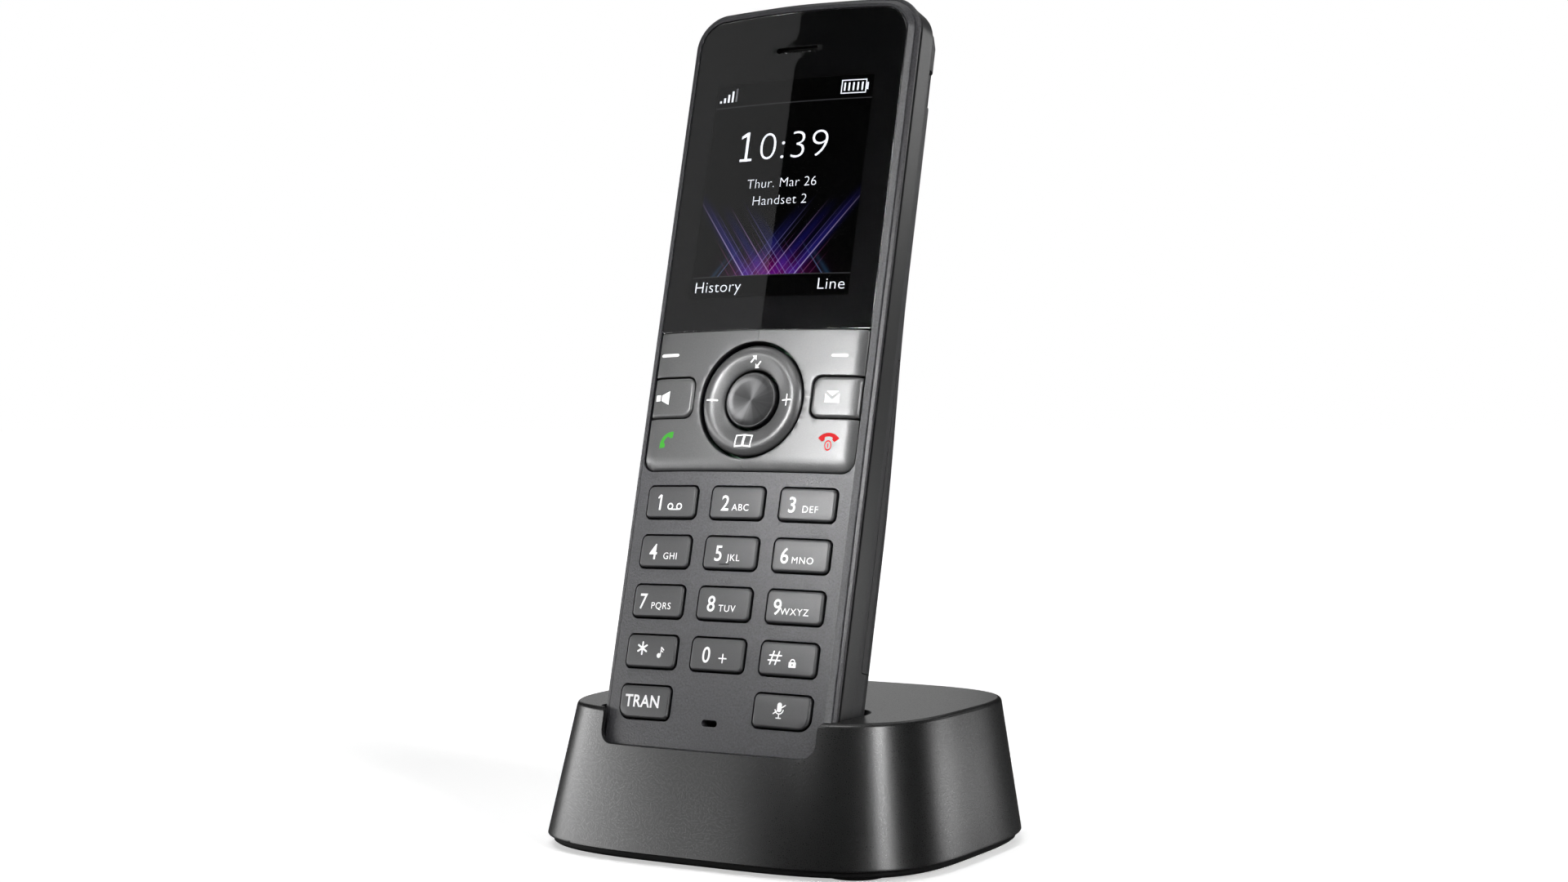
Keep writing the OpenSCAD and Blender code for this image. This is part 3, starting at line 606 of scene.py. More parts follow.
# place along the lower edge, half width, power, colour, and height at which it has faded
BEAMS = (
    (-8.2, 0.06, 0.1, (0.7, 0.15, 0.5), 5.0),
    (-6.6, 0.07, 0.16, (0.8, 0.2, 0.6), 8.0),
    (-5.2, 0.09, 0.46, (0.72, 0.58, 1.0), 18.0),
    (-4.5, 0.8, 0.11, (0.08, 0.06, 1.0), 18.0),
    (-4.1, 0.06, 0.18, (0.55, 0.4, 1.0), 16.5),
    (-3.1, 0.06, 0.22, (0.45, 0.35, 1.0), 15.0),
    (-1.8, 0.06, 0.14, (0.7, 0.3, 0.9), 12.5),
    (-0.9, 0.8, 0.08, (0.06, 0.05, 1.0), 14.5),
    (0.3, 0.08, 0.34, (0.8, 0.5, 1.0), 14.5),
    (1.5, 0.06, 0.16, (0.8, 0.25, 0.8), 9.0),
    (2.6, 0.06, 0.20, (0.55, 0.45, 1.0), 13.0),
    (3.6, 0.07, 0.26, (0.45, 0.4, 1.0), 15.5),
    (4.5, 0.9, 0.07, (0.1, 0.1, 1.0), 14.0),
    (5.6, 0.06, 0.16, (0.3, 0.35, 1.0), 12.0),
    (7.2, 0.06, 0.10, (0.3, 0.35, 1.0), 9.0),
    (10.6, 0.09, 0.18, (0.3, 0.5, 1.0), 7.0),
    (11.7, 0.4, 0.05, (0.1, 0.4, 0.8), 6.0),
)

# the last tuples on CASING, SILVER and KEYS give where painted shade darkens their walls, gaps and rolled
# edges
CASING = moulded("casing_plastic", (0.039, 0.039, 0.042), 0.36, 2900, 0.8, 0.00009, 0.45, 0.08,
                 tint=(0.98, 0.98, 1.02), painted_shade_heights=(-3.1, -2.75))
BAND = moulded("band_plastic", (0.013, 0.013, 0.0135), 0.42, 5200, 0.2, 0.00003, 0.08, 0.05)
REAR = moulded("rear_plastic", (0.034, 0.034, 0.0355), 0.5, 3200, 0.6, 0.00006, 0.2, 0.08)
SILVER = moulded("panel_paint", (0.088, 0.088, 0.089), 0.34, 5200, 0.45, 0.00003, 0.14, 0.05, metallic=0.35,
                 specular=0.6, painted_shade_heights=(-0.45, -0.05))
KEYS = moulded("key_plastic", (0.045, 0.045, 0.047), 0.38, 4200, 0.3, 0.00004, 0.12, 0.06,
               painted_shade_heights=(-0.05, 0.28))
SPUN = spun("spun_key", (0.034, 0.034, 0.035))
GLASS = glass("clear_window")
MASK = moulded("mask_ink", (0.002, 0.002, 0.0022), 0.5, 5000, 0.1, 0.00001, 0.1, 0.05, specular=0.08)
SCREEN = picture("lit_screen")
LIGHTS = ink("screen_light", (0.93, 0.95, 1.0), 0.8)
DIM = ink("screen_dim", (0.25, 0.25, 0.27), 0.06)
# the key and panel legend inks below glow a little: painted light, with no lamp behind them
WHITE = ink("white_ink", (0.86, 0.86, 0.86), 0.12)
GREEN = ink("green_ink", (0.045, 0.30, 0.03), 0.08)
RED = ink("red_ink", (0.42, 0.004, 0.006), 0.1)
CRADLE = moulded("cradle_plastic", (0.009, 0.009, 0.0092), 0.30, 6500, 0.16, 0.00003, 0.12, 0.05,
                 specular=0.55)
BLACK = moulded("black_plastic", (0.005, 0.005, 0.0052), 0.6, 4200, 0.3, 0.00004, 0.15, 0.1, specular=0.25)
RUBBER = moulded("rubber", (0.02, 0.02, 0.02), 0.8, 3000, 0.5, 0.00006, 0.2, 0.1)
STEEL = metal("steel", (0.55, 0.56, 0.58))
DARK_STEEL = metal("blackened_steel", (0.02, 0.02, 0.02), 0.6)
GOLD = metal("gold_plate", (0.83, 0.62, 0.28), 0.22)
BOARD = moulded("solder_mask", (0.02, 0.12, 0.05), 0.3, 2500, 0.2, 0.00004, 0.15, 0.1)
WRAP = moulded("cell_wrap", (0.05, 0.12, 0.35), 0.3, 1500, 0.2, 0.00005, 0.1, 0.15)

# ---- front casing

# column and row of each key
KEY_GRID = {f"key_{n + 1}": (n % 3 - 1, n // 3) for n in range(9)}
KEY_GRID.update(key_star=(-1, 3), key_0=(0, 3), key_hash=(1, 3), key_transfer=(-1, 4), key_mute=(1, 4))
KEY_AT = {name: np.array([c * PITCH_U, FIRST_ROW - r * PITCH_V]) for name, (c, r) in KEY_GRID.items()}
# corner radii, from the upper right anticlockwise
CORNERS = {"key_transfer": (0.9, 0.9, 2.0, 0.9), "key_mute": (0.9, 0.9, 0.9, 2.0)}


def key_loop(name, grow):
    corners = [r + grow for r in CORNERS.get(name, (0.9,) * 4)]
    return rounded(*KEY_AT[name], KEY_W + 2 * grow, KEY_H + 2 * grow, 0, 7, corners)


def window_loop(grow):
    """The opening for the lens and the silver panel together."""
    top = lens_outline(grow)
    top = top[: len(top) - 10]
    half, r = PANEL_HALF + 0.05 + grow, 2.4
    y = PANEL_LOW - grow + r
    return dense(np.vstack([top, arc(-half + r, y, r, 180, 270), arc(half - r, y, r, 270, 360)]), 2.5)


# (distance from the edge, drop) of the rolled edges, and (inset, height) of the casing's outer wall
EDGE_ROLL = ((0, 0.98), (0.02, 0.86), (0.08, 0.76), (0.16, 0.67), (0.64, 0.19), (0.71, 0.13), (0.78, 0.08),
             (0.86, 0.0))
HOLE_ROLL = ((0, 0.07), (0.02, 0.03), (0.06, 0.0))
SKIRT = ((0.80, -2.30), (0.76, -2.37), (0.60, -2.40), (0.24, -2.42), (0.10, -2.48), (0.04, -2.60),
         (0.04, -2.92), (0.10, -3.02), (0.28, -3.10), (1.70, -3.10), (1.70, -2.62))
CASING_LOW = -2.62
KEY_GAP = 0.29


def front_casing():
    keys = [key_loop(name, KEY_GAP) for name in KEY_GRID]
    holes = [window_loop(0.12)] + keys + [rounded(0, MIC_V, 3.0, 1.1, 0.5)]
    skirt = [(body_outline(inset), w) for inset, w in SKIRT]
    shape = slab(body_outline(SKIRT[0][0]), holes, crown, CASING_LOW, EDGE_ROLL, HOLE_ROLL, 1.6, skirt)
    piece("front_casing_shell", shape, 35, "handset", CASING, ["front_casing"])


front_casing()

# ---- lens, mask and screen

LENS_DEPTH, MASK_DEPTH = 0.3, 1.2
FINE_ROLL = ((0, 0.16), (0.05, 0.07), (0.12, 0.02), (0.2, 0.0))
SLOT_ROLL = ((0, 0.06), (0.04, 0.02), (0.08, 0.0))


def face_at(lift):
    """The height function of the crowned face lifted by lift."""
    return lambda p: crown(p, lift)


def display_loop(inset, r):
    size = 2 * DISPLAY_HALF - inset, -DISPLAY_LOW - inset
    return dense(rounded(0, DISPLAY_LOW / 2, *size, r), 2.5)


def lens():
    slot = rounded(0, EARPIECE_V, 8.4, 1.0, 0.48)
    under = face_at(-MASK_DEPTH)
    window = slab(dense(lens_outline(0), 2.5), [slot], face_at(-0.01), face_at(-LENS_DEPTH), FINE_ROLL,
                  SLOT_ROLL, 1.3)
    piece("lens_window", window, 40, "handset", GLASS, ["display_lens"])
    mask = slab(dense(lens_outline(-0.06), 2.5), [display_loop(0, 0.15), slot], face_at(-LENS_DEPTH - 0.01),
                under, grid=1.3)
    piece("lens_mask", mask, 40, "handset", MASK)
    screen = slab(display_loop(0.06, 0.12), [], face_at(-LENS_DEPTH - 0.03), under, grid=1.3)
    piece("screen_picture", screen, 40, "handset", SCREEN, ["display_panel"])


lens()

# ---- keys

CAP_ROLL = ((0, 0.50), (0.03, 0.33), (0.09, 0.19), (0.18, 0.09), (0.30, 0.025), (0.42, 0.0))
KEY_LOW = -2.4


def digit_keys():
    for name in KEY_GRID:
        shape = slab(key_loop(name, 0), [], face_at(KEY_PROUD), KEY_LOW, CAP_ROLL, grid=1.2)
        piece(name + "_cap", shape, 35, name, KEYS, [name])


digit_keys()

PANEL_EDGE = ((0, 0.72), (0.1, 0.60), (0.3, 0.43), (0.6, 0.26), (1.0, 0.12), (1.5, 0.04), (2.1, 0.0))
PANEL_LIFT, SIDE_KEY_LIFT, PANEL_UNDER = 0.35, 0.43, -2.5
HAIRLINE, PANEL_GAP = 0.015, 0.22


def panel_outline():
    return rounded(0, (PANEL_TOP + PANEL_LOW) / 2, 2 * PANEL_HALF, PANEL_TOP - PANEL_LOW, 0, 8,
                   (0.5, 0.5, 2.3, 2.3))


def panel_top(lift):
    """The height function of the panel's face, which rolls down at its sides and lower edge."""
    edge = panel_outline()
    # no roll along the top, where the panel meets the lens
    edge[edge[:, 1] > PANEL_TOP - 0.6, 1] += 4.0

    def height(p):
        return crown(p, lift) - profile(distance(p, edge), PANEL_EDGE)
    return height


def side_notch(grow):
    """The right-hand side key's outline as an open path that runs upwards."""
    x, half, r = SIDE_KEY_IN - grow, SIDE_KEY_HALF + grow, 1.7
    top, low = SIDE_KEY_V + half, SIDE_KEY_V - half
    return np.vstack([arc(x + r, low + r, r, 270, 180), arc(x + r, top - r, r, 180, 90)])


def panel_solid():
    low_r, top_r = 2.3, 0.5
    notch = SIDE_KEY_HALF + PANEL_GAP
    right = np.vstack([arc(PANEL_HALF - low_r, PANEL_LOW + low_r, low_r, 270, 360),
                       [[PANEL_HALF, SIDE_KEY_V - notch]], side_notch(PANEL_GAP),
                       [[PANEL_HALF, SIDE_KEY_V + notch]],
                       arc(PANEL_HALF - top_r, PANEL_TOP - top_r, top_r, 0, 90, 4)])
    left = right[::-1] * [-1, 1]
    outer = dense(np.vstack([right, left]), 1.5)
    hole = circle(0, RING_V, RING_R + 0.35, 128)
    return slab(outer, [hole], panel_top(PANEL_LIFT), PANEL_UNDER, FINE_ROLL, grid=1.1)


def quarter(source, sx, sy):
    """One corner of the panel, cut along its hairline divisions."""
    bm = bmesh.new()
    bm.from_mesh(source.data)
    for normal, at in ((Vector((sx, 0, 0)), 0.0), (Vector((0, sy, 0)), SIDE_KEY_V)):
        origin = (normal * HAIRLINE + Vector((0, at, 0))) * MM
        geom = list(bm.verts) + list(bm.edges) + list(bm.faces)
        made = bmesh.ops.bisect_plane(bm, geom=geom, dist=1e-8, plane_co=origin, plane_no=normal,
                                      clear_inner=True)
        edges = [e for e in made["geom_cut"] if isinstance(e, bmesh.types.BMEdge)]
        bmesh.ops.holes_fill(bm, edges=edges, sides=0)
    mesh = bpy.data.meshes.new("quarter")
    bm.to_mesh(mesh)
    bm.free()
    return mesh


def panel_keys():
    whole = build("panel_whole", panel_solid())
    quarters = (("soft_key_left", -1, 1), ("soft_key_right", 1, 1), ("talk_key", -1, -1), ("end_key", 1, -1))
    for name, sx, sy in quarters:
        ob = linked(name + "_cap", quarter(whole, sx, sy))
        ob.matrix_world = HANDSET
        tidy(ob.data)
        place(shade(ob, 35), name, SILVER, [name])
    discard(whole)
    roll = ((0, 0.46), (0.06, 0.30), (0.16, 0.17), (0.30, 0.08), (0.46, 0.025), (0.6, 0.0))
    for name, side in (("speaker_key", -1), ("message_key", 1)):
        loop = np.vstack([side_notch(0.0), [[PANEL_HALF + 2, SIDE_KEY_V + half]
                                            for half in (SIDE_KEY_HALF, -SIDE_KEY_HALF)]])
        loop[:, 0] = np.minimum(loop[:, 0], PANEL_HALF - 0.02)
        loop = dense(loop * [side, 1], 1.2)
        shape = slab(loop, [], panel_top(SIDE_KEY_LIFT), PANEL_UNDER, roll, grid=1.0)
        piece(name + "_cap", shape, 35, name, SILVER, [name])


panel_keys()

# (radius, height) of the ring's crest and of its outer and inner walls
RING_TOP = ((SELECT_R + 1.15, 0.01), (RING_R - 3.4, 0.20), (RING_R - 2.85, 0.37), (RING_R - 2.35, 0.49),
            (RING_R - 1.9, 0.53), (RING_R - 1.45, 0.46), (RING_R - 1.05, 0.31), (RING_R - 0.7, 0.09),
            (RING_R - 0.45, -0.14))
RING_OUTER = ((RING_R - 0.2, -2.3), (RING_R - 0.14, -0.7), (RING_R - 0.18, -0.52), (RING_R - 0.28, -0.34))
RING_INNER = ((SELECT_R + 0.75, -0.14), (SELECT_R + 0.55, -0.26), (SELECT_R + 0.45, -0.42),
              (SELECT_R + 0.45, -2.3))


def navigation():
    ring = RING_INNER[-1:] + RING_OUTER + RING_TOP[::-1] + RING_INNER[:-1]
    piece("nav_ring_cap", lathe(ring, True), 38, "nav_ring", SILVER, ["nav_ring"])
    select = ((0.4, -2.4), (SELECT_R - 0.1, -2.4), (SELECT_R, -0.05), (SELECT_R - 0.03, 0.1),
              (SELECT_R - 0.12, 0.2), (SELECT_R - 0.28, 0.23), (SELECT_R - 0.42, 0.2),
              (SELECT_R - 0.55, 0.16), (3.4, 0.10), (2.2, 0.06), (1.1, 0.035), (0.3, 0.03))
    piece("select_key_cap", lathe(select, False), 38, "select_key", SPUN, ["select_key"])


navigation()

# ---- legends

# how far print stands out and sinks in, and the typeface's cap height
THICK, CAP_HEIGHT = 0.015, 0.73


def lay(shapes, words, surface):
    """Outlines (outer, holes) and lettering, laid as thin raised print on a surface height function."""
    parts = [slab(dense(outer, 0.3), [dense(h, 0.3) for h in holes], lambda q: surface(q) + THICK,
                  lambda q: surface(q) - THICK, grid=0.5) for outer, holes in shapes]
    parts += [(raised(p[:, :2], surface(p[:, :2]) + THICK * np.sign(p[:, 2])), f) for p, f in words]
    points, faces, count = [], [], 0
    for p, f in parts:
        points.append(p)
        faces += [tuple(i + count for i in face) for face in f]
        count += len(p)
    return np.vstack(points), faces


def print_on(name, shapes, words, surface, body, material):
    ob = build(name, lay(shapes, words, surface))
    place(shade(ob, 40, False), body, material)


def lettering(text, at, height, stretch=1.0, slant=0.0, bold=0.0, gap=1.0, anchor="CENTER"):
    """Points and faces of a line of text, with its cap height in mm and the point at its baseline."""
    data = bpy.data.curves.new("text", "FONT")
    data.body, data.align_x, data.size = text, anchor, 1.0
    data.shear, data.offset, data.space_character = slant, bold, gap
    data.resolution_u, data.extrude = 5, 0.5
    ob = linked("text", data)
    mesh = evaluated(ob)
    co = np.array([tuple(v.co) for v in mesh.vertices])
    faces = [tuple(q.vertices) for q in mesh.polygons]
    bpy.data.objects.remove(ob)
    bpy.data.curves.remove(data)
    bpy.data.meshes.remove(mesh)
    scale = height / CAP_HEIGHT
    co = np.column_stack([co[:, 0] * scale * stretch + at[0], co[:, 1] * scale + at[1], co[:, 2]])
    return co, faces


def bar(x0, y0, x1, y1, width, ends=3):
    """A stroke with round ends."""
    a, r = math.degrees(math.atan2(y1 - y0, x1 - x0)), width / 2
    return (np.vstack([arc(x1, y1, r, a - 90, a + 90, ends), arc(x0, y0, r, a + 90, a + 270, ends)]), [])


def outline(points, width):
    """A closed line of a given width: the shape and its inner hole."""
    p = np.array(points, float)
    if signed_area(p) < 0:
        p = p[::-1]
    return (offset(p, -width / 2), [offset(p, width / 2)])


def poly(points):
    p = np.array(points, float)
    return (p if signed_area(p) > 0 else p[::-1], [])


def box(x0, y0, x1, y1):
    return poly([(x0, y0), (x1, y0), (x1, y1), (x0, y1)])


def moved(shapes, x, y, turn=0.0, scale=1.0):
    """The shapes scaled, turned by degrees and then shifted."""
    c, s = math.cos(math.radians(turn)) * scale, math.sin(math.radians(turn)) * scale
    m = np.array([[c, s], [-s, c]])
    return [(o @ m + [x, y], [h @ m + [x, y] for h in hs]) for o, hs in shapes]


def key_words(at, digit, letters, digit_u, letters_u):
    words = [lettering(digit, (at[0] + digit_u, at[1] - 1.42), 2.8, 0.88, 0.03, 0.008)]
    if letters:
        words.append(lettering(letters, (at[0] + letters_u, at[1] - 1.38), 1.22, 1.0, 0.0, 0.0, 1.12))
    return words


def voicemail():
    reels = [(circle(x, 0.62, 0.62, 24), [circle(x, 0.62, 0.38, 24)]) for x in (-0.95, 0.95)]
    return reels + [bar(-0.78, 0.1, 0.78, 0.1, 0.22)]


def note():
    return [(circle(-0.15, 0.3, 0.42, 20), []), bar(0.2, 0.35, 0.2, 1.75, 0.17),
            bar(0.25, 1.72, 0.75, 1.3, 0.24), bar(0.25, 1.2, 0.62, 0.95, 0.18)]


def padlock():
    shackle = np.vstack([arc(0, 0.95, 0.5, 0, 180, 12), arc(0, 0.95, 0.3, 180, 0, 12)])
    body = rounded(0, 0.45, 1.35, 0.95, 0.12)
    return [(body, [circle(0, 0.45, 0.14, 12)]), (shackle, [])]


def muted_mic():
    head = rounded(0, 0.55, 0.85, 1.6, 0.42)
    cup = np.vstack([arc(0, 0.2, 0.85, 180, 360, 14), arc(0, 0.2, 0.65, 360, 180, 14)])
    return [(head, []), (cup, []), bar(0, -0.68, 0, -1.15, 0.18), bar(-0.42, -1.25, 0.42, -1.25, 0.18),
            bar(-1.05, -0.55, 1.05, 0.95, 0.2)]


def key_print(name, shapes, words=()):
    print_on(name + "_legend", shapes, words, face_at(KEY_PROUD), name, WHITE)


# digit, letters, and where each starts across the key
KEY_TEXT = (("1", None, -2.25, 0), ("2", "ABC", -2.2, 0.95), ("3", "DEF", -2.7, 0.75),
            ("4", "GHI", -2.35, 1.4), ("5", "JKL", -2.25, 0.85), ("6", "MNO", -2.95, 0.5),
            ("7", "PQRS", -3.15, 0.85), ("8", "TUV", -2.4, 0.85), ("9", "WXYZ", -3.1, 0.2))


def legends():
    for digit, letters, digit_u, letters_u in KEY_TEXT:
        name = "key_" + digit
        u, v = KEY_AT[name]
        shapes = []
        if digit == "1":
            shapes += moved(voicemail(), u + 0.95, v - 1.42)
            shapes += [bar(u - 2.75, v + 0.72, u - 2.3, v + 1.2, 0.3, 2)]
        if digit == "5":
            dash = slab(rounded(u - 0.85, v - 1.95, 2.0, 0.3, 0.14), [], face_at(KEY_PROUD + 0.16),
                        face_at(KEY_PROUD - 0.05), ((0, 0.12), (0.06, 0.03), (0.12, 0)), grid=0.5)
            piece("key_5_tactile_bar", dash, 40, name, KEYS)
        key_print(name, shapes, key_words((u, v), digit, letters, digit_u, letters_u))
    u, v = KEY_AT["key_star"]
    star = [bar(-1.05 * math.cos(a), -1.05 * math.sin(a), 1.05 * math.cos(a), 1.05 * math.sin(a), 0.34)
            for a in (math.radians(90), math.radians(30), math.radians(-30))]
    key_print("key_star", moved(star, u - 1.85, v + 0.45) + moved(note(), u + 2.0, v - 1.0))
    u, v = KEY_AT["key_0"]
    plus = [bar(-0.72, 0, 0.72, 0, 0.22), bar(0, -0.72, 0, 0.72, 0.22)]
    key_print("key_0", moved(plus, u + 1.3, v - 0.6), key_words((u, v), "0", None, -2.05, 0))
    u, v = KEY_AT["key_hash"]
    cross = [bar(-0.85, -1.1, -0.25, 1.1, 0.26), bar(0.15, -1.1, 0.75, 1.1, 0.26),
             bar(-1.2, -0.42, 1.0, -0.42, 0.26), bar(-1.0, 0.42, 1.2, 0.42, 0.26)]
    key_print("key_hash", moved(cross, u - 2.35, v + 0.1) + moved(padlock(), u + 1.0, v - 1.35))
    u, v = KEY_AT["key_transfer"]
    key_print("key_transfer", [], [lettering("TRAN", (u - 0.35, v - 0.9), 2.15, 0.93, 0.0, 0.02, 1.05)])
    u, v = KEY_AT["key_mute"]
    key_print("key_mute", moved(muted_mic(), u - 0.35, v + 0.15))


legends()


def arrow():
    return [bar(0, -0.75, 0, 0.45, 0.26), poly([(-0.55, 0.2), (0.55, 0.2), (0, 0.85)])]


def book():
    leaf = [(-1.55, -1.0), (-0.11, -0.85), (-0.11, 1.15), (-1.55, 1.0)]
    return [outline(leaf, 0.24), outline([(-x, y) for x, y in leaf], 0.24)]


def speaker():
    return [box(-2.0, -0.55, -1.0, 0.55),
            poly([(-0.72, -0.5), (0.95, -1.25), (0.95, 1.25), (-0.72, 0.5)])]


def envelope():
    return [poly([(-1.35, -1.0), (1.35, -1.0), (1.35, 0.62), (0, -0.52), (-1.35, 0.62)]),
            poly([(-1.12, 1.05), (0, 0.16), (1.12, 1.05)])]


def receiver():
    """A telephone receiver lying on its back, with its two cups down."""
    cup = lambda angle, r: arc(0, 0, r, angle, angle, 1)[:1]
    shape = np.vstack([arc(0, 0, 2.7, 38, 142, 20), cup(142, 1.55), cup(118, 1.55), cup(114, 1.95),
                       arc(0, 0, 2.0, 108, 72, 12), cup(66, 1.95), cup(62, 1.55), cup(38, 1.55)])
    return [(shape - [0, 1.83], [])]


def panel_icons():
    flat, side = panel_top(PANEL_LIFT), panel_top(SIDE_KEY_LIFT)

    def on_ring(p):
        return profile(np.linalg.norm(p - [0, RING_V], axis=1), RING_TOP)

    def icon(key, shapes, surface, colour=WHITE):
        print_on(key + "_legend", shapes, [], surface, key, colour)

    v = RING_V
    arrows = moved(arrow(), -0.30, v + 7.3, -45) + moved(arrow(), 0.55, v + 6.3, 135)
    signs = [bar(-8.75, v - 0.05, -6.75, v - 0.05, 0.3), bar(6.35, v - 0.05, 8.25, v - 0.05, 0.28),
             bar(7.3, v - 1.0, 7.3, v + 0.9, 0.28)]
    icon("nav_ring", arrows + moved(book(), -0.3, v - 7.35) + signs, on_ring)
    icon("soft_key_left", [bar(-20.0, -50.7, -16.6, -50.7, 0.55)], flat)
    icon("soft_key_right", [bar(15.0, -51.2, 17.7, -51.2, 0.55)], flat)
    icon("speaker_key", moved(speaker(), -18.15, SIDE_KEY_V), side)
    icon("message_key", moved(envelope(), 15.9, SIDE_KEY_V), side)
    icon("talk_key", moved(receiver(), -16.7, -66.1, 48, 0.95), flat, GREEN)
    ring = arc(0, 0, 1.0, 0, 345, 23) * [0.72, 1.0]
    power = [(ring + [0, -1.5], [ring * 0.72 + [0, -1.5]]), bar(0, -1.15, 0, -1.85, 0.22)]
    icon("end_key", moved(receiver() + power, 16.15, -65.6, 0, 0.93), flat, RED)


panel_icons()

# text, its baseline point, cap height, stretch, boldness and anchor
SCREEN_TEXT = (("0:39", (1.8, -14.95), 5.45, 1.1, -0.022, "CENTER"),
               ("Thur. Mar 26", (0.25, -20.2), 1.85, 1.01, -0.02, "CENTER"),
               ("Handset 2", (0.25, -23.4), 1.85, 1.04, -0.02, "CENTER"),
               ("History", (-15.4, -39.2), 2.15, 1.08, -0.016, "LEFT"),
               ("Line", (15.4, -39.2), 2.15, 1.08, -0.016, "RIGHT"))
SIGNAL_BARS = ((-15.3, 0.4), (-14.45, 0.9), (-13.6, 1.5), (-12.75, 2.05))


def screen_items():
    surface = face_at(-LENS_DEPTH - 0.02)
    words = [lettering(text, at, height, stretch, 0.0, bold, 1.04, anchor)
             for text, at, height, stretch, bold, anchor in SCREEN_TEXT]
    one = [poly([(-8.2, -14.95), (-7.65, -14.95), (-7.65, -9.5), (-8.15, -9.5), (-9.3, -10.2),
                 (-9.3, -10.7), (-8.2, -10.2)]), box(-9.2, -14.95, -6.7, -14.5)]
    signal = [box(x, -3.3, x + 0.4, -3.3 + height) for x, height in SIGNAL_BARS]
    cell = [outline([(10.0, -3.35), (14.7, -3.35), (14.7, -0.95), (10.0, -0.95)], 0.17),
            box(14.85, -2.8, 15.15, -1.5)]
    cell += [box(x, -2.9, x + 0.3, -1.4) for x in (10.45, 11.3, 12.15, 13.0, 13.85)]
    print_on("screen_text", one + signal + cell, words, surface, "handset", LIGHTS)
    print_on("screen_last_bar", [box(-11.9, -3.3, -11.5, -0.8)], [], surface, "handset", DIM)


screen_items()

# ---- side band

JACK_R, JACK_V, JACK_W = 2.3, -45.05, -6.35
# (inset, height), with a groove along the upper and the lower edge
BAND_SECTION = ((1.5, BAND_TOP), (0.9, BAND_TOP), (0.8, BAND_TOP - 0.1), (0.8, BAND_TOP - 0.55),
                (0.45, BAND_TOP - 0.6), (0.28, BAND_TOP - 0.66), (0.2, BAND_TOP - 0.8),
                (0.2, BAND_LOW + 0.42), (0.28, BAND_LOW + 0.28), (0.45, BAND_LOW + 0.22),
                (0.95, BAND_LOW + 0.2), (0.95, BAND_LOW), (1.5, BAND_LOW))


def side_band():
    ob = build("side_band_ring", skin([raised(body_outline(inset), w) for inset, w in BAND_SECTION], True))
    carve(ob, [build("cutter", extruded(circle(JACK_V, JACK_W, JACK_R, 48), 0, -30, -15))])
    tidy(ob.data)
    place(shade(ob, 30), "handset", BAND, ["side_band"])


side_band()

# ---- cradle

CRADLE_H, SHELL_Z = 25.3, 2.0
LOW_HALF, TOP_HALF, TOP_SHIFT, SQUARE = (38.9, 32.1), (34.8, 28.8), 1.9, 3.6
NOTCH_HALF, NOTCH_Z = 21.2, 19.4
WELL_SQUARE, WELL_FRONT, WELL_DEPTH = 3.4, 0.5, 10.8 + 0.9
# (height, inset) of the shell's outer wall and of the plate under it
SHELL_WALL = ((2.0, 0.3), (2.06, 0.12), (2.2, 0.02), (2.5, 0.0), (24.6, 0.0), (24.92, 0.06), (25.1, 0.17),
              (25.23, 0.34), (25.3, 0.6))
PLATE_WALL = ((0.7, 1.7), (0.8, 1.25), (1.0, 1.0), (1.3, 0.9), (1.95, 0.9), (1.99, 2.2), (3.1, 2.2))


def cradle_ring(z, inset, steps=216):
    """The cradle's rounded-square outline at height z, drawn in by inset."""
    t = (z - SHELL_Z) / (CRADLE_H - SHELL_Z)
    a = (np.arange(steps) + 0.5) * 2 * math.pi / steps
    c, s = np.cos(a), np.sin(a)
    hx = LOW_HALF[0] + (TOP_HALF[0] - LOW_HALF[0]) * t - inset
    hy = LOW_HALF[1] + (TOP_HALF[1] - LOW_HALF[1]) * t - inset
    x = hx * np.sign(c) * np.abs(c) ** (2 / SQUARE)
    y = TOP_SHIFT * t + hy * np.sign(s) * np.abs(s) ** (2 / SQUARE)
    return np.column_stack([x, y, np.full(steps, z)])


def well_loop():
    """The well's outline across the handset, which has a rounded back and chamfered front corners."""
    hw, front = half_w(-108) + 0.5, WELL_FRONT
    a = np.linspace(0, math.pi, 49)
    c, t = np.cos(a), np.abs(np.sin(a))
    back = np.column_stack([-hw * np.sign(c) * np.abs(c) ** (2 / WELL_SQUARE),
                            REAR_W - WELL_DEPTH * t ** (2 / WELL_SQUARE)])
    return np.vstack([[[hw, -2.2], [hw - 0.5, -0.9], [hw - 3.2, front - 0.45], [0, front],
                       [3.2 - hw, front - 0.45], [0.5 - hw, -0.9], [-hw, -2.2]], back])


def notch_loop():
    r, s, top = 2.4, 1.5, CRADLE_H + 0.2
    inner, outer, z = NOTCH_HALF - r, NOTCH_HALF + s, NOTCH_Z + r
    return np.vstack([arc(-inner, z, r, 180, 270, 10), arc(inner, z, r, 270, 360, 10),
                      arc(outer, top - s, s, 180, 90), [[outer, top + 5], [-outer, top + 5]],
                      arc(-outer, top - s, s, 90, 0)])


